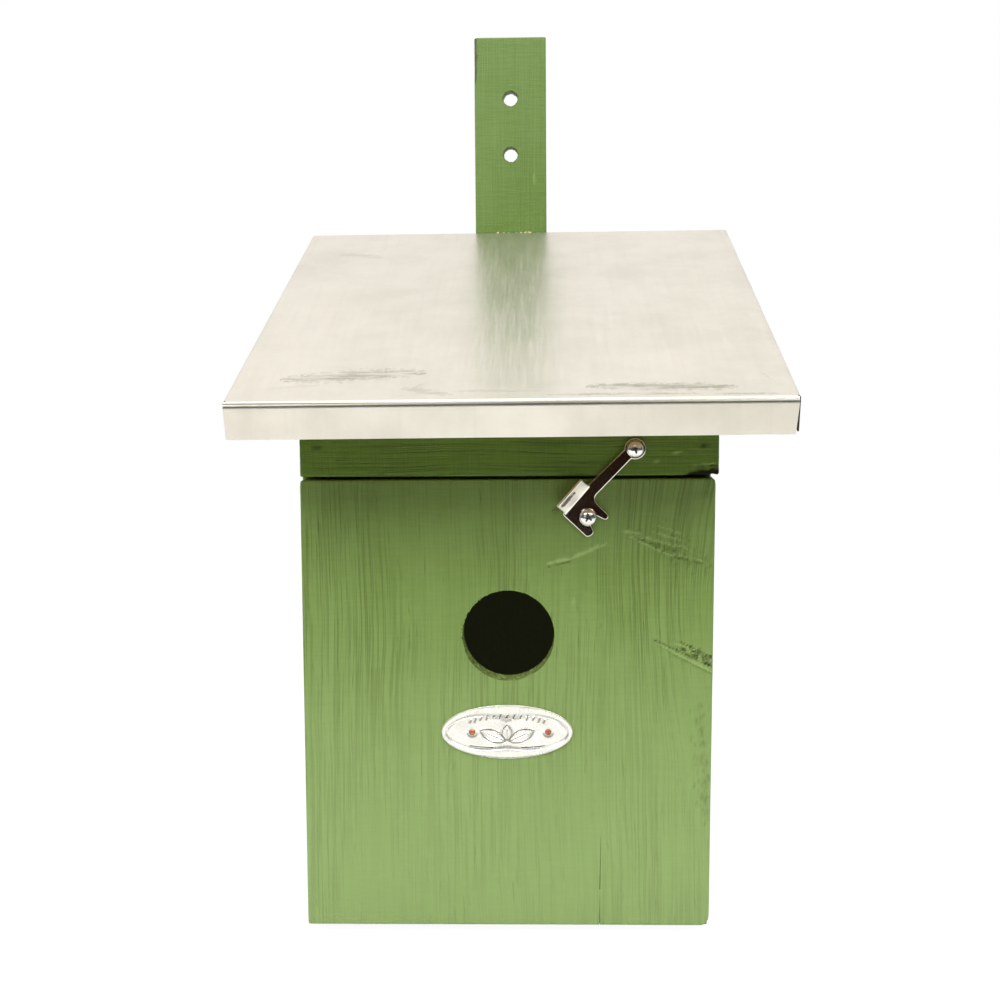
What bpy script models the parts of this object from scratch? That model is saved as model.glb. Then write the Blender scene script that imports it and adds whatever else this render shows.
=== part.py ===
"""Nest box: painted board box with a zinc-covered pitched roof, a hinged front door with a round
entry hole, a swinging latch hook and a hanging batten. Metres, +Z up, front towards -Y."""

import math

import bmesh
import bpy
from mathutils import Matrix, Vector

MM = 0.001

# Boards
BOARD = 9.0 * MM                 # thickness of the box boards
GAP = 0.3 * MM                   # joint gap between boards that meet
EDGE = 0.5 * MM                  # eased edge of a sawn board
BOX_WIDTH = 142.7 * MM           # over the side boards, and the door
BOX_DEPTH = 148.0 * MM           # door's front face to the back board's back face
BOX_SHIFT = -2.9 * MM            # the box sits this far off the middle of the roof
DOOR_LIFT = 3.6 * MM             # door's lower edge above the resting face
DOOR_HEIGHT = 159.4 * MM
DOOR_GAP = 0.5 * MM              # between the door and the boards behind it
RAIL_SLIT = 1.1 * MM             # between the door's top and the rail
RAIL_EXTRA = 1.1 * MM            # the rail is this much wider than the box
RAIL_HEIGHT = 33.7 * MM          # at its front
RAIL_SHIFT = 1.2 * MM            # the rail stands this far to the right of the box's middle

# Roof
ROOF_SIDE = 18.2 * MM            # the sheet's overhang at each side, on average
ROOF_PITCH = math.radians(17.23)
ROOF_OVERHANG = 50.5 * MM        # foremost point of the sheet to the door's front face
ROOF_BACK_GAP = 0.7 * MM         # sheet's back edge to the batten
SHEET = 0.7 * MM
SHEET_GAP = 0.3 * MM             # sheet to roof board
FRONT_BEND = 1.5 * MM            # outer radius of the front fold
SIDE_BEND = 1.1 * MM             # outer radius of the side folds
FLANGE = 12.1 * MM               # height of the folded edges
CORNER_SLIT = 0.9 * MM           # open slit between the front and side folds
ROOF_BOARD = 9.0 * MM
ROOF_EDGE = 0.6 * MM             # eased edge of the roof board

# Batten
BATTEN_WIDTH = 30.6 * MM
BATTEN = 9.0 * MM                # thickness
BATTEN_RISE = 82.25 * MM         # its top above the sheet's back edge
BATTEN_SHIFT = -0.4 * MM         # from the box's middle
BATTEN_HOLE = 3.0 * MM           # radius
BATTEN_HOLE_DOWN = 25.5 * MM     # upper hole's centre below the batten's top
BATTEN_HOLE_PITCH = 23.5 * MM

# Door
ENTRY_HOLE = 16.0 * MM           # radius
ENTRY_HEIGHT = 104.7 * MM        # centre above the door's lower edge
ENTRY_SHIFT = 0.7 * MM
DOOR_CORNER = 3.5 * MM           # radius of the worn lower right corner
DOOR_NICK = 1.1 * MM             # the other three corners

# Hinge: eye screws in the floor's front edge, on pins through the door's lower edge
HINGE_BACK = 3.5 * MM            # axis in front of the door's back face
HINGE_UP = 3.6 * MM              # axis above the door's lower edge
HEEL_PAST = 0.2 * MM             # the door's rounded lower back edge reaches this far past its back
EYE_IN = 23.35 * MM              # eyes in from the door's sides
EYE_WIRE = 0.75 * MM             # radius of the eye's wire
PIN = 0.9 * MM                   # radius of the hinge pins
PIN_PAST = 8.15 * MM             # a pin's end past its eye
RUNNING = 0.1 * MM               # radial clearance of a turning fit
MORTISE = 0.5 * MM               # clearance round an eye in the door's notch
EYE_SHANK = 14.0 * MM
EYE_ROOT = 0.1 * MM              # overlap of an eye's ring and shank

# Latch
LATCH_X = 44.4 * MM              # pivot screw from the box's middle
LATCH_UP = 9.3 * MM              # pivot screw above the rail's lower edge
KEEPER_LEFT = 16.1 * MM          # keeper screw from the pivot screw
KEEPER_DOWN = 23.4 * MM
HOOK = 1.0 * MM                  # plate thickness
HOOK_GAP = 0.6 * MM              # hook's back to the boards
HOOK_LAND = 0.65 * MM            # the hook's eye shows this far round the pivot screw's head
HOOK_ARM = 3.9 * MM              # width of the arm
SLOT_PLAY = 0.45 * MM            # each side of the keeper screw in the hook's slot
TAB_REACH = 6.0 * MM
TAB_ROOT = 0.5 * MM              # overlap of the tab and the hook's plate
TAB_ANGLE = math.radians(52)
SCREW_HEAD = 3.0 * MM            # radius
SCREW_HEAD_HEIGHT = 2.1 * MM
SCREW_SHANK = 1.5 * MM           # radius
SCREW_SKIN = 1.3 * MM            # wood left behind the screws' points
SCREW_END = 0.4 * MM             # a screw's hole goes this far past its point

# Plate
PLATE_WIDTH = 46.0 * MM
PLATE_HEIGHT = 19.2 * MM
PLATE = 0.6 * MM
PLATE_RIM = 0.5 * MM             # height of the raised rim
PLATE_RIM_WIDTH = 1.1 * MM
PLATE_DROP = 34.1 * MM           # centre below the entry hole's centre
PLATE_SEAT = 0.15 * MM           # plate's back to the door
PLATE_NAIL_LEFT = 12.2 * MM      # nails from the plate's middle
PLATE_NAIL_RIGHT = 14.4 * MM

# Nails and wood screws
NAIL = 0.9 * MM                  # shank radius
NAIL_HEAD = 1.9 * MM
NAIL_HEAD_HEIGHT = 0.7 * MM
NAIL_LENGTH = 22.0 * MM
FIT = 0.15 * MM                  # clearance round a driven nail or screw
NAIL_SEAT = 0.2 * MM             # clearance behind a sunk head
HOLE_END = 2.0 * MM              # a nail's hole goes this far past its point
STANDING = 0.05 * MM             # underside of a driven head above the wood
RAIL_NAIL_DRIVEN = 1.0 * MM      # the rail's nails are this much shorter than the others
RAIL_NAIL_LEFT = 0.756           # in from the box's left side, of a board's thickness
RAIL_NAIL_RIGHT = 0.333          # in from the box's right side, of a board's thickness
RAIL_NAIL_SHARE = 0.3            # of the rail's height, up from its lower edge
BACK_NAIL_LOW = 40.0 * MM        # above the resting face
BACK_NAIL_DOWN = 34.0 * MM       # highest back nail below the roof board
FLOOR_NAIL_IN = 30.5 * MM        # from the floor's front edge and from its back edge
ROOF_NAIL_IN = 20.0 * MM         # from the side boards' front and back edges, along the slope
TACK = 0.6 * MM                  # shank radius
TACK_HEAD = 1.15 * MM
TACK_HEAD_HEIGHT = 0.6 * MM
TACK_LENGTH = 7.0 * MM
BATTEN_SCREW_LOW = 45.0 * MM     # above the resting face
BATTEN_SCREW_DOWN = 50.0 * MM    # upper screw below the roof board
BATTEN_SCREW_HEAD = 1.9 * MM     # height of the head
BATTEN_SCREW_SHARE = 0.5         # the screws go this far into the batten's thickness
BATTEN_SCREW_POINT = 3.0 * MM    # length of their points
THROUGH = 1.0 * MM               # a cutter goes this far past the face it opens

# Sizes and places that follow from the ones above
RAIL_WIDTH = BOX_WIDTH + RAIL_EXTRA
ROOF_WIDTH = BOX_WIDTH + 2 * ROOF_SIDE
HINGE_IN = BOARD - HINGE_BACK
HINGE_HEEL = HINGE_BACK + HEEL_PAST
EYE_X = BOX_WIDTH / 2 - EYE_IN
EYE_RING = PIN + RUNNING + EYE_WIRE
PIN_LENGTH = EYE_IN - EDGE + PIN_PAST
HOOK_EYE = SCREW_HEAD + HOOK_LAND
HOOK_SLOT = SCREW_SHANK + SLOT_PLAY
HEAD_OUT = HOOK_GAP + HOOK + GAP
SCREW_LENGTH = HEAD_OUT + BOARD - SCREW_SKIN
BATTEN_SCREW_BITE = BATTEN * BATTEN_SCREW_SHARE
DOOR_Y = (ROOF_OVERHANG - BOX_DEPTH - GAP - BATTEN) / 2
DOOR_BACK = DOOR_Y + BOARD
BACK_Y = DOOR_Y + BOX_DEPTH
BATTEN_Y = BACK_Y + GAP
SIDE_FRONT = DOOR_BACK + DOOR_GAP
SIDE_BACK = BACK_Y - BOARD - GAP
LEFT = BOX_SHIFT - BOX_WIDTH / 2
RIGHT = BOX_SHIFT + BOX_WIDTH / 2
DOOR_TOP = DOOR_LIFT + DOOR_HEIGHT
RAIL_BOTTOM = DOOR_TOP + RAIL_SLIT
RAIL_TOP = RAIL_BOTTOM + RAIL_HEIGHT
HINGE_Y = DOOR_Y + HINGE_IN
HINGE_Z = DOOR_LIFT + HINGE_UP
FLOOR_BOTTOM = HINGE_Z - BOARD / 2
SIN, COS = math.sin(ROOF_PITCH), math.cos(ROOF_PITCH)
ROOF_TIP_Y = DOOR_Y - ROOF_OVERHANG - FRONT_BEND * (COS + SIN - 1)
ROOF_LENGTH = (BATTEN_Y - ROOF_BACK_GAP - ROOF_TIP_Y) / COS
BOARD_TOP_V = -SHEET - SHEET_GAP
BOARD_UNDER_V = BOARD_TOP_V - ROOF_BOARD
ROOF_FRONT_HEIGHT = RAIL_TOP + GAP - (DOOR_Y - ROOF_TIP_Y) * SIN / COS - BOARD_UNDER_V / COS
BATTEN_TOP = ROOF_FRONT_HEIGHT + ROOF_LENGTH * SIN + BATTEN_RISE
PIVOT = Vector((BOX_SHIFT + LATCH_X, DOOR_Y, RAIL_BOTTOM + LATCH_UP))
KEEPER = Vector((PIVOT.x - KEEPER_LEFT, DOOR_Y, PIVOT.z - KEEPER_DOWN))
HEAD_Y = DOOR_Y - HEAD_OUT
SCREW_HOLE_END = HEAD_Y + SCREW_LENGTH + SCREW_END
SIDE_MID = BOX_WIDTH / 2 - BOARD / 2
PLATE_Z = DOOR_LIFT + ENTRY_HEIGHT - PLATE_DROP
PLATE_Y = DOOR_Y - PLATE_SEAT
TACK_X = (BOX_SHIFT - PLATE_NAIL_LEFT, BOX_SHIFT + PLATE_NAIL_RIGHT)


def under_roof(y):
    """Height of the roof board's underside at this depth."""
    return ROOF_FRONT_HEIGHT + (y - ROOF_TIP_Y) * SIN / COS + BOARD_UNDER_V / COS


ROOF_FRAME = Matrix.Translation((0, ROOF_TIP_Y, ROOF_FRONT_HEIGHT)) @ Matrix.Rotation(
    ROOF_PITCH, 4, "X"
)
RAIL_NAIL_Z = RAIL_BOTTOM + RAIL_NAIL_SHARE * RAIL_HEIGHT
RAIL_NAIL_X = {-1: LEFT + RAIL_NAIL_LEFT * BOARD, 1: RIGHT - RAIL_NAIL_RIGHT * BOARD}
BACK_NAIL_HIGH = under_roof(BACK_Y) - BACK_NAIL_DOWN
BACK_NAIL_Z = (BACK_NAIL_LOW, (BACK_NAIL_LOW + BACK_NAIL_HIGH) / 2, BACK_NAIL_HIGH)
FLOOR_NAIL_Y = (SIDE_FRONT + FLOOR_NAIL_IN, SIDE_BACK - FLOOR_NAIL_IN)
ROOF_NAIL_U = (
    (SIDE_FRONT - ROOF_TIP_Y) / COS + ROOF_NAIL_IN,
    (SIDE_BACK - ROOF_TIP_Y) / COS - ROOF_NAIL_IN,
)
BATTEN_SCREW_Z = (BATTEN_SCREW_LOW, under_roof(BACK_Y) - BATTEN_SCREW_DOWN)


def clear_scene():
    for obj in list(bpy.data.objects):
        bpy.data.objects.remove(obj, do_unlink=True)


def new_collection(name):
    made = bpy.data.collections.new(name)
    bpy.context.scene.collection.children.link(made)
    return made


def material(name, colour, metallic, roughness):
    made = bpy.data.materials.new(name)
    made.use_nodes = True
    shader = made.node_tree.nodes["Principled BSDF"]
    shader.inputs["Base Color"].default_value = (*colour, 1)
    shader.inputs["Metallic"].default_value = metallic
    shader.inputs["Roughness"].default_value = roughness
    made.diffuse_color = (*colour, 1)
    return made


def to_object(name, build, collection, colour=None):
    mesh = bpy.data.meshes.new(name)
    build.normal_update()
    build.to_mesh(mesh)
    build.free()
    obj = bpy.data.objects.new(name, mesh)
    collection.objects.link(obj)
    if colour is not None:
        mesh.materials.append(colour)
    return obj


def add_prism(build, outline, axis, low, high):
    """A closed prism: outline lies across the axis (0 X, 1 Y, 2 Z), which runs from low to high."""
    across = [i for i in range(3) if i != axis]
    corners = []
    for a, b in outline:
        place = [0.0, 0.0, 0.0]
        place[across[0]], place[across[1]], place[axis] = a, b, low
        corners.append(build.verts.new(place))
    face = build.faces.new(corners)
    pushed = bmesh.ops.extrude_face_region(build, geom=[face])
    moved = [v for v in pushed["geom"] if isinstance(v, bmesh.types.BMVert)]
    shift = [0.0, 0.0, 0.0]
    shift[axis] = high - low
    bmesh.ops.translate(build, verts=moved, vec=shift)
    bmesh.ops.recalc_face_normals(build, faces=build.faces[:])


def add_block(build, low, high):
    size = [h - l for l, h in zip(low, high)]
    middle = [(l + h) / 2 for l, h in zip(low, high)]
    matrix = Matrix.Translation(middle) @ Matrix.Diagonal((*size, 1))
    bmesh.ops.create_cube(build, size=1, matrix=matrix)


def add_bore(build, start, end, radius, segments=16):
    """A plain cylinder from start to end, to cut a hole with."""
    start, end = Vector(start), Vector(end)
    along = end - start
    matrix = Matrix.Translation((start + end) / 2) @ along.to_track_quat("Z", "Y").to_matrix().to_4x4()
    bmesh.ops.create_cone(
        build,
        cap_ends=True,
        segments=segments,
        radius1=radius,
        radius2=radius,
        depth=along.length,
        matrix=matrix,
    )


def ease(obj, width=EDGE):
    bevel = obj.modifiers.new("eased edges", "BEVEL")
    bevel.width = width
    bevel.segments = 2
    bevel.limit_method = "ANGLE"
    bevel.angle_limit = math.radians(40)


def cut(obj, cutter, name="cut"):
    cutter.hide_render = True
    cutter.display_type = "WIRE"
    boolean = obj.modifiers.new(name, "BOOLEAN")
    boolean.operation = "DIFFERENCE"
    boolean.solver = "EXACT"
    boolean.object = cutter


def join(obj, other, name="join"):
    other.hide_render = True
    other.display_type = "WIRE"
    boolean = obj.modifiers.new(name, "BOOLEAN")
    boolean.operation = "UNION"
    boolean.solver = "EXACT"
    boolean.object = other


def board(name, low, high, parts, paint):
    build = bmesh.new()
    add_block(build, low, high)
    obj = to_object(name, build, parts, paint)
    ease(obj)
    return obj


def round_shading(obj):
    for polygon in obj.data.polygons:
        polygon.use_smooth = True
    obj.data.set_sharp_from_angle(angle=math.radians(35))


def turned(name, profile, place, outward, parts, metal, steps=14):
    """A turned piece. The profile runs from the top of its head down its outer side, and outward
    is the way its head faces."""
    mesh = bpy.data.meshes.new(name)
    points = [(r, 0.0, h) for r, h in profile]
    mesh.from_pydata(points, [(i, i + 1) for i in range(len(points) - 1)], [])
    obj = bpy.data.objects.new(name, mesh)
    parts.objects.link(obj)
    mesh.materials.append(metal)
    obj.matrix_world = (
        Matrix.Translation(place) @ Vector(outward).to_track_quat("Z", "Y").to_matrix().to_4x4()
    )
    screw = obj.modifiers.new("turned", "SCREW")
    screw.steps = steps
    screw.render_steps = steps
    screw.use_merge_vertices = True
    screw.merge_threshold = 0.00001
    screw.use_smooth_shade = True
    return obj


def nail(name, place, outward, parts, metal, length=NAIL_LENGTH):
    head = NAIL_HEAD_HEIGHT
    profile = [
        (0.0, head),
        (NAIL_HEAD * 0.8, head),
        (NAIL_HEAD, head * 0.6),
        (NAIL_HEAD, 0.0),
        (NAIL, 0.0),
        (NAIL, NAIL * 2.5 - length),
        (0.0, -length),
    ]
    return turned(name, profile, place, outward, parts, metal, steps=12)


def cross_screw(name, place, parts, cutters, metal):
    """Pan-head screw with a cross recess, facing the front."""
    r, h = SCREW_HEAD, SCREW_HEAD_HEIGHT
    profile = [
        (0.0, h),
        (r * 0.45, h * 0.98),
        (r * 0.78, h * 0.8),
        (r * 0.95, h * 0.5),
        (r, h * 0.2),
        (r, 0.0),
        (SCREW_SHANK, 0.0),
        (SCREW_SHANK, SCREW_SHANK * 1.6 - SCREW_LENGTH),
        (0.0, -SCREW_LENGTH),
    ]
    obj = turned(name, profile, place, (0, -1, 0), parts, metal, steps=24)
    front = place.y - h
    arm, half = r * 0.56, r * 0.13
    build = bmesh.new()
    deep = h * 0.55
    add_block(
        build,
        (place.x - arm, front - MM, place.z - half),
        (place.x + arm, front + deep, place.z + half),
    )
    first = to_object(name + "_recess_a", build, cutters)
    build = bmesh.new()
    add_block(
        build,
        (place.x - half, front - MM, place.z - arm),
        (place.x + half, front + deep * 0.97, place.z + arm),
    )
    second = to_object(name + "_recess_b", build, cutters)
    cut(obj, first, "recess a")
    cut(obj, second, "recess b")
    return obj


def rounded_outline(left, right, bottom, top, radii, steps=5):
    """Corner radii run anticlockwise from the lower left."""
    centres = [
        (left + radii[0], bottom + radii[0], 180, radii[0]),
        (right - radii[1], bottom + radii[1], 270, radii[1]),
        (right - radii[2], top - radii[2], 0, radii[2]),
        (left + radii[3], top - radii[3], 90, radii[3]),
    ]
    points = []
    for x, z, start, r in centres:
        for i in range(steps + 1):
            a = math.radians(start + 90 * i / steps)
            points.append((x + r * math.cos(a), z + r * math.sin(a)))
    return points


def make_side(name, sign, parts, cutters, paint):
    outer = BOX_SHIFT + sign * BOX_WIDTH / 2
    inner = outer - sign * BOARD
    low, high = min(outer, inner), max(outer, inner)
    outline = [
        (SIDE_FRONT, 0.0),
        (SIDE_BACK, 0.0),
        (SIDE_BACK, under_roof(SIDE_BACK) - GAP),
        (SIDE_FRONT, under_roof(SIDE_FRONT) - GAP),
    ]
    build = bmesh.new()
    add_prism(build, outline, 0, low, high)
    obj = to_object(name, build, parts, paint)
    ease(obj)
    holes = bmesh.new()
    middle = BOX_SHIFT + sign * SIDE_MID
    deep = NAIL_LENGTH + HOLE_END
    x, z = RAIL_NAIL_X[sign], RAIL_NAIL_Z
    add_bore(holes, (x, SIDE_FRONT - THROUGH, z), (x, DOOR_Y + deep, z), NAIL + FIT)
    for z in BACK_NAIL_Z:
        add_bore(holes, (middle, BACK_Y - deep, z), (middle, SIDE_BACK + THROUGH, z), NAIL + FIT)
    for y in FLOOR_NAIL_Y:
        start = (outer + sign * THROUGH, y, HINGE_Z)
        add_bore(holes, start, (inner - sign * THROUGH, y, HINGE_Z), NAIL + FIT)
    for u in ROOF_NAIL_U:
        top = ROOF_FRAME @ Vector((middle, u, BOARD_TOP_V))
        end = ROOF_FRAME @ Vector((middle, u, BOARD_TOP_V - deep))
        add_bore(holes, top, end, NAIL + FIT)
    cut(obj, to_object(name + "_holes", holes, cutters))
    return obj


def make_floor(parts, cutters, paint):
    inside = BOX_WIDTH / 2 - BOARD - GAP
    obj = board(
        "floor_board",
        (BOX_SHIFT - inside, SIDE_FRONT, FLOOR_BOTTOM),
        (BOX_SHIFT + inside, SIDE_BACK, FLOOR_BOTTOM + BOARD),
        parts,
        paint,
    )
    holes = bmesh.new()
    for sign in (-1, 1):
        x = BOX_SHIFT + sign * EYE_X
        end = (x, HINGE_Y + EYE_SHANK + HOLE_END, HINGE_Z)
        add_bore(holes, (x, SIDE_FRONT - THROUGH, HINGE_Z), end, EYE_WIRE + FIT)
        edge = BOX_SHIFT + sign * (inside + THROUGH)
        deep = BOX_SHIFT + sign * (BOX_WIDTH / 2 - NAIL_LENGTH - HOLE_END)
        for y in FLOOR_NAIL_Y:
            add_bore(holes, (edge, y, HINGE_Z), (deep, y, HINGE_Z), NAIL + FIT)
    cut(obj, to_object("floor_board_holes", holes, cutters))
    return obj


def make_back(parts, cutters, paint):
    front = BACK_Y - BOARD
    outline = [
        (front, 0.0),
        (BACK_Y, 0.0),
        (BACK_Y, under_roof(BACK_Y) - GAP),
        (front, under_roof(front) - GAP),
    ]
    build = bmesh.new()
    add_prism(build, outline, 0, LEFT, RIGHT)
    obj = to_object("back_board", build, parts, paint)
    ease(obj)
    holes = bmesh.new()
    for sign in (-1, 1):
        x = BOX_SHIFT + sign * SIDE_MID
        for z in BACK_NAIL_Z:
            add_bore(holes, (x, front - THROUGH, z), (x, BACK_Y + THROUGH, z), NAIL + FIT)
    x = BOX_SHIFT + BATTEN_SHIFT
    for z in BATTEN_SCREW_Z:
        add_bore(holes, (x, front - THROUGH, z), (x, BACK_Y + THROUGH, z), SCREW_SHANK + FIT)
    cut(obj, to_object("back_board_holes", holes, cutters))
    return obj


def make_rail(parts, cutters, paint):
    middle = BOX_SHIFT + RAIL_SHIFT
    obj = board(
        "front_rail",
        (middle - RAIL_WIDTH / 2, DOOR_Y, RAIL_BOTTOM),
        (middle + RAIL_WIDTH / 2, DOOR_BACK, RAIL_TOP),
        parts,
        paint,
    )
    holes = bmesh.new()
    seats = bmesh.new()
    z = RAIL_NAIL_Z
    for x in RAIL_NAIL_X.values():
        start = (x, DOOR_Y - THROUGH, z)
        add_bore(holes, start, (x, DOOR_BACK + THROUGH, z), NAIL + FIT)
        add_bore(seats, start, (x, DOOR_Y + NAIL_HEAD_HEIGHT + NAIL_SEAT, z), NAIL_HEAD + FIT)
    add_bore(
        holes,
        (PIVOT.x, DOOR_Y - THROUGH, PIVOT.z),
        (PIVOT.x, SCREW_HOLE_END, PIVOT.z),
        SCREW_SHANK + FIT,
    )
    cut(obj, to_object("front_rail_holes", holes, cutters), "holes")
    cut(obj, to_object("front_rail_seats", seats, cutters), "nail seats")
    return obj


def make_door(parts, cutters, paint):
    outline = rounded_outline(
        LEFT, RIGHT, DOOR_LIFT, DOOR_TOP, (DOOR_NICK, DOOR_CORNER, DOOR_NICK, DOOR_NICK)
    )
    build = bmesh.new()
    add_prism(build, outline, 1, DOOR_Y, DOOR_BACK)
    obj = to_object("front_panel", build, parts, paint)
    ease(obj)

    holes = bmesh.new()
    x, z = BOX_SHIFT + ENTRY_SHIFT, DOOR_LIFT + ENTRY_HEIGHT
    front = DOOR_Y - THROUGH
    add_bore(holes, (x, front, z), (x, DOOR_BACK + THROUGH, z), ENTRY_HOLE, 48)
    add_bore(holes, (KEEPER.x, front, KEEPER.z), (KEEPER.x, SCREW_HOLE_END, KEEPER.z), SCREW_SHANK + FIT)
    for x in TACK_X:
        add_bore(holes, (x, front, PLATE_Z), (x, DOOR_Y + TACK_LENGTH, PLATE_Z), TACK + FIT)
    for sign in (-1, 1):
        edge = BOX_SHIFT + sign * (BOX_WIDTH / 2 + THROUGH)
        end = BOX_SHIFT + sign * (BOX_WIDTH / 2 - EDGE - PIN_LENGTH - FIT)
        add_bore(holes, (edge, HINGE_Y, HINGE_Z), (end, HINGE_Y, HINGE_Z), PIN + FIT)
    cut(obj, to_object("front_panel_holes", holes, cutters), "holes")

    notches = bmesh.new()
    ring = EYE_RING + EYE_WIRE + MORTISE
    half = EYE_WIRE + MORTISE
    for sign in (-1, 1):
        x = BOX_SHIFT + sign * EYE_X
        add_block(
            notches,
            (x - half, HINGE_Y - ring, DOOR_LIFT - THROUGH),
            (x + half, DOOR_BACK + THROUGH, HINGE_Z + ring),
        )
    cut(obj, to_object("front_panel_notches", notches, cutters), "notches")

    heel = bmesh.new()
    arc = []
    for i in range(9):
        a = math.radians(4 - 98 * i / 8)
        arc.append((HINGE_Y + HINGE_HEEL * math.cos(a), HINGE_Z + HINGE_HEEL * math.sin(a)))
    under = DOOR_LIFT - 2 * THROUGH
    behind = DOOR_BACK + 2 * THROUGH
    corner = [(arc[-1][0], under), (behind, under), (behind, arc[0][1])]
    add_prism(heel, arc + corner, 0, LEFT - THROUGH, RIGHT + THROUGH)
    cut(obj, to_object("front_panel_heel", heel, cutters), "rounded heel")
    return obj


def make_batten(parts, cutters, paint):
    middle = BOX_SHIFT + BATTEN_SHIFT
    obj = board(
        "mounting_batten",
        (middle - BATTEN_WIDTH / 2, BATTEN_Y, 0.0),
        (middle + BATTEN_WIDTH / 2, BATTEN_Y + BATTEN, BATTEN_TOP),
        parts,
        paint,
    )
    holes = bmesh.new()
    for i in range(2):
        z = BATTEN_TOP - BATTEN_HOLE_DOWN - i * BATTEN_HOLE_PITCH
        start = (middle, BATTEN_Y - THROUGH, z)
        add_bore(holes, start, (middle, BATTEN_Y + BATTEN + THROUGH, z), BATTEN_HOLE, 28)
    deep = BATTEN_SCREW_BITE + HOLE_END
    for z in BATTEN_SCREW_Z:
        start = (middle, BATTEN_Y - THROUGH, z)
        add_bore(holes, start, (middle, BATTEN_Y + deep, z), SCREW_SHANK + FIT)
    cut(obj, to_object("mounting_batten_holes", holes, cutters))
    return obj


def fold(radius, steps=4):
    """Quarter arc from the flange's face (0) to the top (1), as offsets from the sharp corner."""
    points = []
    for i in range(steps + 1):
        a = math.radians(180 - 90 * i / steps)
        points.append((radius + radius * math.cos(a), -radius + radius * math.sin(a)))
    return points


def make_sheet(parts, cutters, zinc):
    """One folded sheet: the top with its front fold, joined to the top with its side folds."""
    half = ROOF_WIDTH / 2
    outer = fold(FRONT_BEND)
    inner = [(SHEET, -FRONT_BEND)] + [
        (
            FRONT_BEND - (FRONT_BEND - SHEET) * math.cos(math.radians(90 * i / 4)),
            -FRONT_BEND + (FRONT_BEND - SHEET) * math.sin(math.radians(90 * i / 4)),
        )
        for i in range(1, 5)
    ]
    reach = ROOF_LENGTH / 2
    profile = (
        [(0.0, -FLANGE)]
        + outer
        + [(reach, 0.0), (reach, -SHEET)]
        + inner[::-1]
        + [(SHEET, -FLANGE)]
    )
    build = bmesh.new()
    span = half - SIDE_BEND - CORNER_SLIT * 0.3
    add_prism(build, profile, 0, -span, span)
    front = to_object("roof_sheet_front", build, cutters)
    front.matrix_world = ROOF_FRAME

    bend = fold(SIDE_BEND)
    inside = SIDE_BEND - SHEET
    left = [(-half, -FLANGE)] + [(-half + a, b) for a, b in bend]
    right = [(half - a, b) for a, b in bend[::-1]] + [(half, -FLANGE)]
    turn = [
        (
            SIDE_BEND - inside * math.cos(math.radians(90 * i / 4)),
            -SIDE_BEND + inside * math.sin(math.radians(90 * i / 4)),
        )
        for i in range(5)
    ]
    back_right = [(half - SHEET, -FLANGE)] + [(half - a, b) for a, b in turn]
    back_left = [(-half + a, b) for a, b in turn[::-1]] + [(-half + SHEET, -FLANGE)]
    profile = left + right + back_right + back_left
    build = bmesh.new()
    add_prism(build, profile, 1, FRONT_BEND + CORNER_SLIT * 0.2, ROOF_LENGTH)
    sheet = to_object("roof_sheet", build, parts, zinc)
    sheet.matrix_world = ROOF_FRAME
    join(sheet, front, "front fold")
    return sheet


def make_roof_board(parts, cutters, wood):
    half = ROOF_WIDTH / 2 - SHEET - SHEET_GAP
    end = BATTEN_Y - ROOF_BACK_GAP

    def along(v):
        """Where the plumb-cut back end is, along the slope, at this depth under the sheet."""
        return (end - ROOF_TIP_Y + v * SIN) / COS

    front = SHEET + SHEET_GAP
    profile = [
        (front, BOARD_UNDER_V),
        (along(BOARD_UNDER_V), BOARD_UNDER_V),
        (along(BOARD_TOP_V), BOARD_TOP_V),
        (front, BOARD_TOP_V),
    ]
    build = bmesh.new()
    add_prism(build, profile, 0, -half, half)
    obj = to_object("roof_board", build, parts, wood)
    obj.matrix_world = ROOF_FRAME
    ease(obj, ROOF_EDGE)
    shafts = bmesh.new()
    seats = bmesh.new()
    for sign in (-1, 1):
        x = BOX_SHIFT + sign * SIDE_MID
        for u in ROOF_NAIL_U:
            top = ROOF_FRAME @ Vector((x, u, BOARD_TOP_V + THROUGH))
            seat = ROOF_FRAME @ Vector((x, u, BOARD_TOP_V - NAIL_HEAD_HEIGHT - NAIL_SEAT))
            end_point = ROOF_FRAME @ Vector((x, u, BOARD_UNDER_V - THROUGH))
            add_bore(shafts, top, end_point, NAIL + FIT)
            add_bore(seats, top, seat, NAIL_HEAD + FIT)
    cut(obj, to_object("roof_board_holes", shafts, cutters), "nail holes")
    cut(obj, to_object("roof_board_seats", seats, cutters), "nail seats")
    return obj


def arm_point(t, s):
    """A point of the hook: t along its arm from the pivot, s towards its upper left side."""
    half = math.sqrt(0.5)
    return (PIVOT.x + (-t - s) * half, PIVOT.z + (-t + s) * half)


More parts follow.
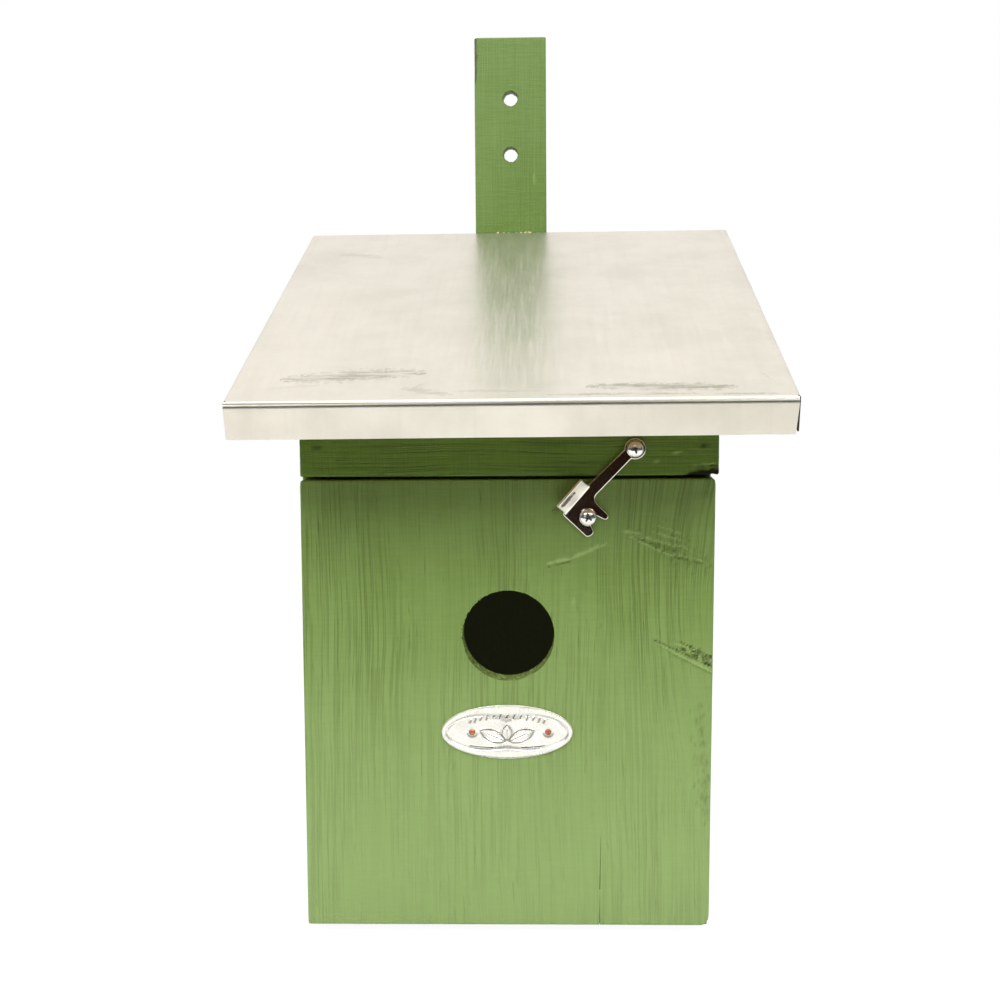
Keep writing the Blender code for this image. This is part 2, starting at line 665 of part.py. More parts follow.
def make_hook(parts, cutters, plated):
    left_s, right_s = HOOK_ARM * 0.62, -HOOK_ARM * 0.38
    points = []
    start = math.atan2(left_s, math.sqrt(HOOK_EYE**2 - left_s**2))
    stop = math.atan2(right_s, math.sqrt(HOOK_EYE**2 - right_s**2)) + 2 * math.pi
    for i in range(19):
        a = start + (stop - start) * i / 18
        points.append((HOOK_EYE * math.cos(a), HOOK_EYE * math.sin(a)))
    half = math.sqrt(0.5)
    keep_t = (KEEPER_LEFT + KEEPER_DOWN) * half
    keep_s = (KEEPER_LEFT - KEEPER_DOWN) * half
    turn = math.hypot(keep_t, keep_s)
    near, far = turn - HOOK_SLOT, turn + HOOK_SLOT
    tip_s = keep_s - 5.2 * MM
    up_t = math.sqrt(near**2 - (tip_s + 0.9 * MM) ** 2)
    top_t = up_t - 2.2 * MM
    points += [
        (top_t - 1.9 * MM, right_s - 0.25 * MM),
        (top_t - 1.0 * MM, right_s - 0.6 * MM),
        (top_t - 0.3 * MM, right_s - 1.4 * MM),
        (top_t, right_s - 2.6 * MM),
        (top_t, tip_s + 1.0 * MM),
        (top_t + 0.3 * MM, tip_s + 0.3 * MM),
        (top_t + 1.1 * MM, tip_s),
        (up_t - 0.35 * MM, tip_s + 0.25 * MM),
    ]
    for i in range(5):
        s = tip_s + 0.9 * MM + (keep_s - tip_s - 0.9 * MM) * i / 4
        points.append((math.sqrt(near**2 - s * s), s))
    for i in range(1, 8):
        a = math.radians(180 - 180 * i / 8)
        points.append((keep_t + HOOK_SLOT * math.cos(a), keep_s + HOOK_SLOT * math.sin(a)))
    for i in range(4):
        s = keep_s - 2.7 * MM * i / 3
        points.append((math.sqrt(far**2 - s * s), s))
    low_t = far + 3.1 * MM
    points += [
        (far - 0.5 * MM, keep_s - 4.3 * MM),
        (far - 0.1 * MM, tip_s + 0.1 * MM),
        (far + 0.8 * MM, tip_s - 0.2 * MM),
        (far + 1.9 * MM, tip_s + 0.05 * MM),
        (low_t - 0.3 * MM, tip_s + 0.8 * MM),
        (low_t, left_s - 1.3 * MM),
        (low_t - 0.25 * MM, left_s - 0.8 * MM),
        (low_t - 0.8 * MM, left_s - 0.55 * MM),
        (top_t - 2.4 * MM, left_s + 0.25 * MM),
    ]
    outline = [arm_point(t, s) for t, s in points]
    back = DOOR_Y - HOOK_GAP
    build = bmesh.new()
    add_prism(build, outline, 1, back - HOOK, back)
    hook = to_object("latch_hook", build, parts, plated)
    hole = bmesh.new()
    add_bore(
        hole,
        (PIVOT.x, back - HOOK - THROUGH, PIVOT.z),
        (PIVOT.x, back + THROUGH, PIVOT.z),
        (SCREW_SHANK + RUNNING) / math.cos(math.pi / 24),
        24,
    )
    cut(hook, to_object("latch_hook_hole", hole, cutters), "pivot hole")

    # thumb tab, bent forward off the hook's upper left edge
    lean = Vector((math.cos(TAB_ANGLE), math.sin(TAB_ANGLE)))
    side = Vector((-lean.y, lean.x)) * HOOK / 2
    root = Vector((-TAB_ROOT, HOOK / 2))
    tip = root + lean * (TAB_REACH + TAB_ROOT)
    section = [root - side, tip - side, tip + side, root + side]
    build = bmesh.new()
    rows = []
    for t, s_at in ((top_t - 2.3 * MM, left_s + 0.2 * MM), (low_t - 1.0 * MM, left_s - 0.5 * MM)):
        row = []
        for out, forward in section:
            x, z = arm_point(t, s_at + out)
            row.append(build.verts.new((x, back - forward, z)))
        rows.append(row)
    build.faces.new(rows[0])
    build.faces.new(rows[1][::-1])
    for i in range(4):
        j = (i + 1) % 4
        build.faces.new((rows[0][i], rows[1][i], rows[1][j], rows[0][j]))
    bmesh.ops.recalc_face_normals(build, faces=build.faces[:])
    join(hook, to_object("latch_hook_tab", build, cutters), "thumb tab")
    pivot = bpy.data.objects.new("latch_pivot", None)
    parts.objects.link(pivot)
    pivot.location = PIVOT
    hook.parent = pivot
    hook.matrix_parent_inverse = Matrix.Translation(PIVOT).inverted()
    return hook


def make_eye(name, sign, parts, cutters, steel):
    """A screw eye: its ring turns on the hinge pin, and its shank is driven into the floor."""
    x = BOX_SHIFT + sign * EYE_X
    build = bmesh.new()
    around, thick = 20, 8
    rows = []
    for i in range(around):
        a = 2 * math.pi * i / around
        row = []
        for j in range(thick):
            b = 2 * math.pi * j / thick
            r = EYE_RING + EYE_WIRE * math.cos(b)
            row.append(
                build.verts.new(
                    (x + EYE_WIRE * math.sin(b), HINGE_Y + r * math.cos(a), HINGE_Z + r * math.sin(a))
                )
            )
        rows.append(row)
    for i in range(around):
        for j in range(thick):
            following = rows[(i + 1) % around]
            build.faces.new(
                (rows[i][j], following[j], following[(j + 1) % thick], rows[i][(j + 1) % thick])
            )
    bmesh.ops.recalc_face_normals(build, faces=build.faces[:])
    eye = to_object(name, build, parts, steel)
    build = bmesh.new()
    start = (x, HINGE_Y + EYE_RING - EYE_ROOT, HINGE_Z)
    add_bore(build, start, (x, HINGE_Y + EYE_SHANK, HINGE_Z), EYE_WIRE * 0.97, 10)
    join(eye, to_object(name + "_shank", build, cutters), "shank")


def make_pin(name, sign, parts, steel):
    profile = [
        (0.0, 0.0),
        (PIN * 0.8, 0.0),
        (PIN, -PIN * 0.2),
        (PIN, PIN - PIN_LENGTH),
        (0.0, -PIN_LENGTH),
    ]
    edge = BOX_SHIFT + sign * (BOX_WIDTH / 2 - EDGE)
    return turned(name, profile, Vector((edge, HINGE_Y, HINGE_Z)), (sign, 0, 0), parts, steel, steps=16)


def oval(half_width, half_height, steps=48):
    points = []
    for i in range(steps):
        a = 2 * math.pi * i / steps
        points.append((BOX_SHIFT + half_width * math.cos(a), PLATE_Z + half_height * math.sin(a)))
    return points


def make_plate(parts, cutters, metal):
    field = PLATE_Y - PLATE
    build = bmesh.new()
    add_prism(build, oval(PLATE_WIDTH / 2, PLATE_HEIGHT / 2), 1, field - PLATE_RIM, PLATE_Y)
    plate = to_object("name_plate", build, parts, metal)
    build = bmesh.new()
    inside = oval(PLATE_WIDTH / 2 - PLATE_RIM_WIDTH, PLATE_HEIGHT / 2 - PLATE_RIM_WIDTH)
    add_prism(build, inside, 1, field - PLATE_RIM - THROUGH, field)
    cut(plate, to_object("name_plate_field", build, cutters), "field")
    build = bmesh.new()
    for x in TACK_X:
        start = (x, field - PLATE_RIM - THROUGH, PLATE_Z)
        add_bore(build, start, (x, PLATE_Y + THROUGH, PLATE_Z), TACK + FIT)
    cut(plate, to_object("name_plate_holes", build, cutters), "tack holes")
    return plate


def make_tack(name, x, parts, metal):
    head = TACK_HEAD_HEIGHT
    profile = [
        (0.0, head),
        (TACK_HEAD * 0.6, head * 0.83),
        (TACK_HEAD * 0.93, head * 0.33),
        (TACK_HEAD, 0.0),
        (TACK, 0.0),
        (TACK, TACK * 2 - TACK_LENGTH),
        (0.0, -TACK_LENGTH),
    ]
    place = Vector((x, PLATE_Y - PLATE - STANDING, PLATE_Z))
    return turned(name, profile, place, (0, -1, 0), parts, metal)


def make_batten_screw(name, z, parts, metal):
    head = BATTEN_SCREW_HEAD
    long = STANDING + BOARD + GAP + BATTEN_SCREW_BITE
    profile = [
        (0.0, head),
        (SCREW_HEAD * 0.6, head * 0.9),
        (SCREW_HEAD, head * 0.37),
        (SCREW_HEAD, 0.0),
        (SCREW_SHANK, 0.0),
        (SCREW_SHANK, BATTEN_SCREW_POINT - long),
        (0.0, -long),
    ]
    place = Vector((BOX_SHIFT + BATTEN_SHIFT, BACK_Y - BOARD - STANDING, z))
    turned(name, profile, place, (0, -1, 0), parts, metal, steps=18)


def make_nails(side, sign, parts, metal):
    """The nails of the rail, back, floor and roof boards, at one side of the box."""
    seat = Vector((RAIL_NAIL_X[sign], DOOR_Y + NAIL_HEAD_HEIGHT, RAIL_NAIL_Z))
    nail("rail_nail_" + side, seat, (0, -1, 0), parts, metal, NAIL_LENGTH - RAIL_NAIL_DRIVEN)
    middle = BOX_SHIFT + sign * SIDE_MID
    for level, z in zip(("low", "middle", "high"), BACK_NAIL_Z):
        place = Vector((middle, BACK_Y + STANDING, z))
        nail("back_nail_" + side + "_" + level, place, (0, 1, 0), parts, metal)
    outer = BOX_SHIFT + sign * (BOX_WIDTH / 2 + STANDING)
    for end, y in zip(("front", "rear"), FLOOR_NAIL_Y):
        nail("floor_nail_" + side + "_" + end, Vector((outer, y, HINGE_Z)), (sign, 0, 0), parts, metal)
    upward = ROOF_FRAME.to_3x3() @ Vector((0, 0, 1))
    for end, u in zip(("front", "rear"), ROOF_NAIL_U):
        seat = ROOF_FRAME @ Vector((middle, u, BOARD_TOP_V - NAIL_HEAD_HEIGHT))
        nail("roof_nail_" + side + "_" + end, seat, upward, parts, metal)


def main():
    clear_scene()
    parts = new_collection("nest_box")
    cutters = new_collection("cutters")

    green = (0.19, 0.33, 0.09)
    paint = {
        name: material(name, green, 0.0, 0.5)
        for name in (
            "side_paint_left",
            "side_paint_right",
            "back_paint",
            "floor_paint",
            "rail_paint",
            "door_paint",
            "batten_paint",
        )
    }
    wood = material("roof_board_wood", (0.45, 0.31, 0.17), 0.0, 0.7)
    zinc = material("zinc_sheet", (0.72, 0.71, 0.68), 1.0, 0.38)
    plated = material("plated_latch", (0.75, 0.74, 0.72), 1.0, 0.12)
    screw_steel = material("screw_steel", (0.7, 0.7, 0.7), 1.0, 0.2)
    nail_steel = material("nail_steel", (0.5, 0.5, 0.5), 1.0, 0.4)
    plate_metal = material("plate_aluminium", (0.85, 0.85, 0.84), 1.0, 0.3)
    copper = material("copper_tack", (0.72, 0.35, 0.22), 1.0, 0.3)
    hinge_steel = material("hinge_steel", (0.6, 0.6, 0.6), 1.0, 0.3)

    make_side("side_board_left", -1, parts, cutters, paint["side_paint_left"])
    make_side("side_board_right", 1, parts, cutters, paint["side_paint_right"])
    make_back(parts, cutters, paint["back_paint"])
    make_floor(parts, cutters, paint["floor_paint"])
    make_rail(parts, cutters, paint["rail_paint"])
    make_batten(parts, cutters, paint["batten_paint"])
    make_roof_board(parts, cutters, wood)
    make_sheet(parts, cutters, zinc)
    make_hook(parts, cutters, plated)
    pivot_head = Vector((PIVOT.x, HEAD_Y, PIVOT.z))
    keeper_head = Vector((KEEPER.x, HEAD_Y, KEEPER.z))
    cross_screw("latch_pivot_screw", pivot_head, parts, cutters, screw_steel)

    on_door = [
        make_door(parts, cutters, paint["door_paint"]),
        cross_screw("latch_keeper_screw", keeper_head, parts, cutters, screw_steel),
        make_plate(parts, cutters, plate_metal),
        make_tack("plate_tack_left", TACK_X[0], parts, copper),
        make_tack("plate_tack_right", TACK_X[1], parts, copper),
    ]
    for side, sign in (("left", -1), ("right", 1)):
        make_eye("hinge_eye_" + side, sign, parts, cutters, hinge_steel)
        on_door.append(make_pin("hinge_pin_" + side, sign, parts, hinge_steel))
        make_nails(side, sign, parts, nail_steel)
    for level, z in zip(("low", "high"), BATTEN_SCREW_Z):
        make_batten_screw("batten_screw_" + level, z, parts, screw_steel)

    hinge = bpy.data.objects.new("door_hinge", None)
    parts.objects.link(hinge)
    hinge.location = (BOX_SHIFT, HINGE_Y, HINGE_Z)
    for obj in on_door:
        obj.parent = hinge
        obj.matrix_parent_inverse = Matrix.Translation(hinge.location).inverted()

    for obj in parts.objects:
        if obj.type == "MESH" and not any(m.type == "SCREW" for m in obj.modifiers):
            round_shading(obj)
    bpy.context.view_layer.update()


if __name__ == "__main__":
    main()
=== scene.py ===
"""Looks of the nest box: painted boards, folded zinc roof, plated latch, embossed plate and studio."""

import math
import random

import bmesh
import bpy
import numpy as np
from bpy.props import FloatProperty, FloatVectorProperty, PointerProperty
from mathutils import Matrix, Vector, noise


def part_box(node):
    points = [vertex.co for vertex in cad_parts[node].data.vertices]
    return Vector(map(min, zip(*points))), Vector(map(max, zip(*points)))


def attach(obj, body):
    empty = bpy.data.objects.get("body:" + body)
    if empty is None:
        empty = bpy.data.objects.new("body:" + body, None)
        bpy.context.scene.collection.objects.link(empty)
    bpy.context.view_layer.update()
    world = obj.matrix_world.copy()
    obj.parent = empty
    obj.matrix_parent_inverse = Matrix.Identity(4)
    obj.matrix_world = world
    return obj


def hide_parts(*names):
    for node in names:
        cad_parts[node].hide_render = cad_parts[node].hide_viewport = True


bl_info = {
    "name": "Nest Box Finish",
    "version": (1, 0, 0),
    "blender": (4, 5, 0),
    "location": "3D View > Sidebar > Nest Box",
    "description": "Finishes the boards, roof, latch and plate of a garden nest box",
    "category": "Object",
}

MM = 0.001

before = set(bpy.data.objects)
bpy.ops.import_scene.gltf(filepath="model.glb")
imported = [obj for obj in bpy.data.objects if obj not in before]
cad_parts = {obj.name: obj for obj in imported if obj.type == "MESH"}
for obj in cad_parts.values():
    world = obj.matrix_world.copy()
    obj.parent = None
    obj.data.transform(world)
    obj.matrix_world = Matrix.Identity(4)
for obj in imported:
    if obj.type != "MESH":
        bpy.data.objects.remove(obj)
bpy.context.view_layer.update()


def node_box(name):
    low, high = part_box(name)
    return np.array(low), np.array(high)


def node_middle(name):
    low, high = node_box(name)
    return (low + high) / 2


PANEL_LOW, PANEL_HIGH = node_box("front_panel")
RAIL_LOW, RAIL_HIGH = node_box("front_rail")
BATTEN_LOW, BATTEN_HIGH = node_box("mounting_batten")
SHEET_LOW, SHEET_HIGH = node_box("roof_sheet")
PLATE_LOW, PLATE_HIGH = node_box("name_plate")
PIVOT_LOW, PIVOT_HIGH = node_box("latch_pivot_screw")
KEEPER_LOW, KEEPER_HIGH = node_box("latch_keeper_screw")
HOOK_LOW, HOOK_HIGH = node_box("latch_hook")

PANEL_MID = (PANEL_LOW + PANEL_HIGH) / 2

SIDES = ("left", "right")
FACE_DEPTH = 1 * MM  # points this close behind a board's front count as on its face
CLEAR = 2 * MM  # how far a cutter runs on past the wood
BOARD_STEP = 2.2 * MM  # mesh spacing through a board's thickness
ENTRY_SIDES = 320
ENTRY_SEED = 11
HANGING_HOLE_SIDES = 40
HANGING_HOLE_SEED = 5
HANGING_HOLE_RADIUS = 3.0 * MM
HANGING_HOLES_DOWN = (25.5 * MM, 49.0 * MM)
BATTEN_SCREW_BORE = 1.65 * MM
NAIL_BORE = 1.05 * MM
SPLINTERS = 26
SPLINTER_SEED = 23
SCREW_SIDES = 56
PLATE_RINGS = 110
PLATE_SIDES = 440


# ---------------------------------------------------------------- settings


def colour(name, description, default):
    return FloatVectorProperty(
        name=name,
        description=description,
        subtype="COLOR",
        size=3,
        min=0.0,
        max=1.0,
        default=default,
    )


def length(name, description, default_mm):
    return FloatProperty(
        name=name,
        description=description,
        unit="LENGTH",
        subtype="DISTANCE",
        min=0.0,
        default=default_mm * MM,
    )


def slant(name, description, default_degrees):
    return FloatProperty(
        name=name,
        description=description,
        subtype="ANGLE",
        default=math.radians(default_degrees),
    )


def amount(name, description, default):
    return FloatProperty(name=name, description=description, default=default)


class BoardSettings(bpy.types.PropertyGroup):
    paint: colour("Paint", "Green of the paint in full light", (0.115, 0.192, 0.030))
    paint_thin: colour("Thin paint", "Paint brushed thin over a ridge", (0.178, 0.272, 0.076))
    paint_deep: colour("Deep paint", "Paint pooled in pores and torn grain", (0.045, 0.066, 0.006))
    bare: colour("Bare wood", "Freshly broken wood", (0.78, 0.58, 0.27))
    arris: length("Arris", "Rounding of a board's edges", 0.6)
    grain_pitch: length("Grain pitch", "Mesh spacing across the grain", 0.7)
    # Painted sheen: paler paint towards a board's foot, painted light for the sheen and light that fall
    # low on the boards.
    painted_sheen: colour("Painted sheen", "Paler paint towards a board's foot, as painted sheen", (0.31, 0.43, 0.165))
    relief: length("Relief", "How far the grain stands out under the paint", 0.03)
    screw_bore: length("Screw bore", "Radius of the latch screws' holes", 1.65)
    tack_bore: length("Tack bore", "Radius of the plate tacks' holes", 0.75)
    entry_radius: length("Entry hole", "Radius of the entry hole", 16.0)
    entry_height: length("Entry hole height", "Entry hole's centre above the panel's lower edge", 104.7)
    entry_side: length("Entry hole side", "Entry hole's centre to the right of the middle", 0.7)


class RoofSettings(bpy.types.PropertyGroup):
    zinc: colour("Zinc", "Colour of the rolled zinc", (0.738, 0.704, 0.624))
    zinc_dull: colour("Dull zinc", "Colour of the oxidised patches", (0.610, 0.580, 0.505))
    grime: colour("Grime", "Colour of the smears", (0.16, 0.14, 0.10))
    thickness: length("Thickness", "Thickness of the sheet", 0.5)
    pitch_angle: slant("Pitch", "Slope of the roof", 17.23)
    lean: slant("Lean", "Sheet tipped down to the left", -0.3)
    front_bend: length("Front fold", "Outer radius of the front fold", 2.0)
    side_bend: length("Side folds", "Outer radius of the side folds", 1.1)
    flange: length("Flange", "Height of the folded edges", 12.1)


class MetalSettings(bpy.types.PropertyGroup):
    nickel: colour("Nickel", "Colour of the plated latch", (0.90, 0.83, 0.72))
    chrome: colour("Screws", "Colour of the bright screws", (0.82, 0.82, 0.82))
    aluminium: colour("Plate", "Colour of the pressed plate", (0.86, 0.845, 0.785))
    copper: colour("Tacks", "Colour of the coppered tacks", (0.62, 0.24, 0.13))
    steel: colour("Nails", "Colour of the wire nails", (0.50, 0.49, 0.47))
    rim: length("Plate rim", "Width of the plate's raised rim", 1.5)
    relief: length("Plate relief", "Depth of the pressed lines", 0.42)


class StudioSettings(bpy.types.PropertyGroup):
    lens: amount("Lens", "Focal length in millimetres", 54.86)
    distance: length("Distance", "Camera in front of the middle of the object", 573.35)
    height: length("Height", "Camera above the floor", 218.54)
    side: length("Side", "Camera to the right of the middle", 10.31)
    yaw: slant("Turn", "Camera turned left", 1.66)
    tilt: slant("Tilt", "Camera tipped down", 6.87)
    roll: slant("Roll", "Camera rolled", 0.45)
    floor_radius: length("Floor", "Radius of the pale floor", 1000.0)
    key: amount("Key lights", "Power of each front softbox in watts", 8.0)
    top_light: amount("Top light", "Power of the overhead softbox in watts", 3.0)
    backdrop: amount("Backdrop", "Brightness of the white backdrop", 1.0)
    room: amount("Room", "Brightness of the room in front", 0.09)


# ---------------------------------------------------------------- shader nodes


class Graph:
    """Adds shader nodes to a tree and joins them."""

    def __init__(self, tree):
        self.tree = tree

    def add(self, kind, **settings):
        node = self.tree.nodes.new(kind)
        for key, value in settings.items():
            setattr(node, key, value)
        return node

    def put(self, socket, value):
        """Joins an output to a socket, or sets the socket's own value."""
        if isinstance(value, bpy.types.NodeSocket):
            self.tree.links.new(value, socket)
        elif isinstance(value, (tuple, list)) and socket.type == "RGBA" and len(value) == 3:
            socket.default_value = (*value, 1.0)
        else:
            socket.default_value = value

    def math(self, operation, *values, clamp=False):
        node = self.add("ShaderNodeMath", operation=operation, use_clamp=clamp)
        for socket, value in zip(node.inputs, values):
            self.put(socket, value)
        return node.outputs[0]

    def vector_math(self, operation, *values):
        node = self.add("ShaderNodeVectorMath", operation=operation)
        for socket, value in zip(node.inputs, values):
            self.put(socket, value)
        return node.outputs["Value" if operation in ("DOT_PRODUCT", "LENGTH") else "Vector"]

    def scaled(self, vector, scale):
        return self.vector_math("MULTIPLY", vector, scale)

    def noise(self, vector, scale=1.0, detail=2.0, roughness=0.5, distortion=0.0):
        node = self.add("ShaderNodeTexNoise")
        self.put(node.inputs["Vector"], vector)
        node.inputs["Scale"].default_value = scale
        node.inputs["Detail"].default_value = detail
        node.inputs["Roughness"].default_value = roughness
        node.inputs["Distortion"].default_value = distortion
        return node.outputs["Fac"]

    def span(self, value, low, high, to_low=0.0, to_high=1.0, smooth=True):
        """Maps low..high of a value to to_low..to_high, and holds it beyond."""
        node = self.add("ShaderNodeMapRange", interpolation_type="SMOOTHSTEP" if smooth else "LINEAR")
        self.put(node.inputs["Value"], value)
        for name, number in (
            ("From Min", low),
            ("From Max", high),
            ("To Min", to_low),
            ("To Max", to_high),
        ):
            self.put(node.inputs[name], number)
        return node.outputs["Result"]

    def mix(self, factor, first, second, blend="MIX"):
        node = self.add("ShaderNodeMix", data_type="RGBA", blend_type=blend, clamp_factor=True)
        self.put(node.inputs["Factor"], factor)
        self.put(node.inputs[6], first)
        self.put(node.inputs[7], second)
        return node.outputs[2]

    def split(self, vector):
        node = self.add("ShaderNodeSeparateXYZ")
        self.put(node.inputs[0], vector)
        return node.outputs

    def group(self, name, **values):
        node = self.add("ShaderNodeGroup", node_tree=bpy.data.node_groups[name])
        for key, value in values.items():
            self.put(node.inputs[key.replace("_", " ").capitalize()], value)
        return node

    def bump(self, height, distance, strength=1.0, normal=None):
        node = self.add("ShaderNodeBump")
        node.inputs["Distance"].default_value = distance
        node.inputs["Strength"].default_value = strength
        self.put(node.inputs["Height"], height)
        if normal is not None:
            self.put(node.inputs["Normal"], normal)
        return node.outputs["Normal"]


def new_group(name, inputs, outputs):
    """A shader node group, its Graph, and its input and output sockets by name."""
    tree = bpy.data.node_groups.new(name, "ShaderNodeTree")
    for label, kind, default in inputs:
        socket = tree.interface.new_socket(label, in_out="INPUT", socket_type="NodeSocket" + kind)
        if default is not None:
            socket.default_value = default
    for label, kind in outputs:
        tree.interface.new_socket(label, in_out="OUTPUT", socket_type="NodeSocket" + kind)
    graph = Graph(tree)
    source = graph.add("NodeGroupInput")
    target = graph.add("NodeGroupOutput")
    return graph, source.outputs, target.inputs


def make_grain_group():
    """Planed softwood: pores, growth bands, fine lines and planer chatter.

    It works in metres, with the grain along Z.
    """
    graph, given, out = new_group(
        "Board grain",
        [("Vector", "Vector", None), ("Coarse", "Float", 1.0)],
        [("Pores", "Float"), ("Bands", "Float"), ("Lines", "Float"), ("Chatter", "Float")],
    )
    bend = graph.noise(graph.scaled(given["Vector"], (13.0, 13.0, 9.0)), detail=2.0)
    sway = graph.add("ShaderNodeCombineXYZ")
    graph.put(sway.inputs[0], graph.math("MULTIPLY", graph.math("SUBTRACT", bend, 0.5), 0.008))
    bent = graph.vector_math("ADD", given["Vector"], sway.outputs[0])
    pores = graph.noise(graph.scaled(bent, (1500.0, 700.0, 95.0)), detail=2.0, roughness=0.5)
    graph.put(out["Pores"], graph.math("MULTIPLY", graph.span(pores, 0.66, 0.76), given["Coarse"]))
    bands = graph.noise(graph.scaled(bent, (120.0, 90.0, 3.0)), detail=3.0, roughness=0.6)
    graph.put(out["Bands"], graph.span(bands, 0.3, 0.7))
    lines = graph.noise(graph.scaled(bent, (1850.0, 500.0, 26.0)), detail=2.0, roughness=0.55)
    lines = graph.span(lines, 0.47, 0.63)
    strong = graph.noise(graph.scaled(bent, (34.0, 34.0, 12.0)), detail=2.0)
    strong = graph.span(strong, 0.36, 0.64, 0.25, 1.0)
    lines = graph.math("MULTIPLY", lines, strong)
    graph.put(out["Lines"], graph.math("MULTIPLY", lines, given["Coarse"]))
    chatter = graph.scaled(given["Vector"], (110.0, 110.0, 1300.0))
    chatter = graph.noise(chatter, detail=2.0, roughness=0.6)
    graph.put(out["Chatter"], graph.span(chatter, 0.35, 0.65))


def make_streak_group():
    """A torn streak between two points: how far a point lies inside it, broken up along its length."""
    graph, given, out = new_group(
        "Streak",
        [
            ("Vector", "Vector", None),
            ("Start", "Vector", (0.0, 0.0, 0.0)),
            ("End", "Vector", (0.0, 0.0, 0.01)),
            ("Width", "Float", 0.002),
            ("Ragged", "Float", 0.5),
        ],
        [("Mask", "Float")],
    )
    along = graph.vector_math("SUBTRACT", given["End"], given["Start"])
    from_start = graph.vector_math("SUBTRACT", given["Vector"], given["Start"])
    share_done = graph.math(
        "DIVIDE",
        graph.vector_math("DOT_PRODUCT", from_start, along),
        graph.vector_math("DOT_PRODUCT", along, along),
        clamp=True,
    )
    scaled = graph.add("ShaderNodeVectorMath", operation="SCALE")
    graph.put(scaled.inputs[0], along)
    graph.put(scaled.inputs["Scale"], share_done)
    away = graph.vector_math("SUBTRACT", from_start, scaled.outputs["Vector"])
    distance = graph.vector_math("LENGTH", away)
    rag = graph.noise(given["Vector"], scale=520.0, detail=4.0, roughness=0.7)
    rag = graph.math("MULTIPLY", graph.math("SUBTRACT", rag, 0.5), given["Ragged"])
    taper = graph.math("MULTIPLY", share_done, graph.math("SUBTRACT", 1.0, share_done))
    taper = graph.math("POWER", graph.math("MULTIPLY", taper, 4.0), 0.5)
    reach = graph.math("DIVIDE", distance, given["Width"])
    reach = graph.math("ADD", reach, graph.math("MULTIPLY", rag, 2.4))
    graph.put(out["Mask"], graph.span(reach, taper, graph.math("MULTIPLY", taper, 0.25)))


def make_wear_group():
    """Handling marks on metal: cloudy dulling, fine scratches and specks."""
    graph, given, out = new_group(
        "Metal wear",
        [
            ("Vector", "Vector", None),
            ("Cloud size", "Float", 30.0),
            ("Rolling", "Vector", (40.0, 900.0, 40.0)),
        ],
        [("Clouds", "Float"), ("Scratches", "Float"), ("Specks", "Float")],
    )
    clouds = graph.add("ShaderNodeTexNoise")
    graph.put(clouds.inputs["Vector"], given["Vector"])
    graph.put(clouds.inputs["Scale"], given["Cloud size"])
    clouds.inputs["Detail"].default_value = 5.0
    clouds.inputs["Roughness"].default_value = 0.62
    graph.put(out["Clouds"], graph.span(clouds.outputs["Fac"], 0.3, 0.7))
    rolled = graph.scaled(given["Vector"], given["Rolling"])
    rolled = graph.noise(rolled, detail=3.0, roughness=0.6)
    graph.put(out["Scratches"], graph.span(rolled, 0.35, 0.75))
    specks = graph.add("ShaderNodeTexVoronoi", feature="F1")
    graph.put(specks.inputs["Vector"], given["Vector"])
    specks.inputs["Scale"].default_value = 160.0
    specks.inputs["Randomness"].default_value = 1.0
    graph.put(out["Specks"], graph.span(specks.outputs["Distance"], 0.07, 0.03))


def new_material(name):
    """A material with only an output and a Principled BSDF, and its Graph and shader."""
    made = bpy.data.materials.new(name)
    made.use_nodes = True
    tree = made.node_tree
    tree.nodes.clear()
    graph = Graph(tree)
    output = graph.add("ShaderNodeOutputMaterial")
    shader = graph.add("ShaderNodeBsdfPrincipled")
    tree.links.new(shader.outputs[0], output.inputs["Surface"])
    return made, graph, shader


def place_vector(graph, order=(0, 1, 2), shift=(0.0, 0.0, 0.0)):
    """The point on the object in metres, with its axes reordered so that the grain runs along Z."""
    place = graph.add("ShaderNodeTexCoord").outputs["Object"]
    axes = graph.split(place)
    made = graph.add("ShaderNodeCombineXYZ")
    for socket, index in zip(made.inputs, order):
        graph.put(socket, axes[index])
    return place, graph.vector_math("ADD", made.outputs[0], shift)


def worn_metal(name, cloud_size, rolling):
    """A new metal's material, Graph, shader, place on the object and wear masks."""
    made, graph, shader = new_material(name)
    place, _ = place_vector(graph)
    wear = graph.group("Metal wear", vector=place, cloud_size=cloud_size, rolling=rolling)
    return made, graph, shader, place, wear.outputs


def strongest(graph, place, streaks, ragged):
    """The strongest of several streaks at each point.

    Each streak has a start, an end, a width and a strength.
    """
    most = 0.0
    for start, end, width, strength in streaks:
        streak = graph.group("Streak", vector=place, start=start, end=end, width=width, ragged=ragged)
        mark = streak.outputs["Mask"]
        if strength != 1.0:
            mark = graph.math("MULTIPLY", mark, strength)
        most = graph.math("MAXIMUM", mark, most)
    return most


def tinted(colour_value, tint):
    return tuple(channel * kept for channel, kept in zip(colour_value, tint))


def darker(colour_value, kept):
    return tinted(colour_value, (kept,) * 3)


def bowed(graph, place, grained, knots):
    """The grain bowed round knots, each a point, how far it reaches and how hard it pushes."""
    for knot, reach, push in knots:
        away = graph.scaled(graph.vector_math("SUBTRACT", place, knot), (1.0, 0.0, 0.8))
        bow = graph.span(graph.vector_math("LENGTH", away), reach, 0.0, 0.0, push)
        shift = graph.add("ShaderNodeCombineXYZ")
        graph.put(shift.inputs[0], bow)
        grained = graph.vector_math("ADD", grained, shift.outputs[0])
    return grained


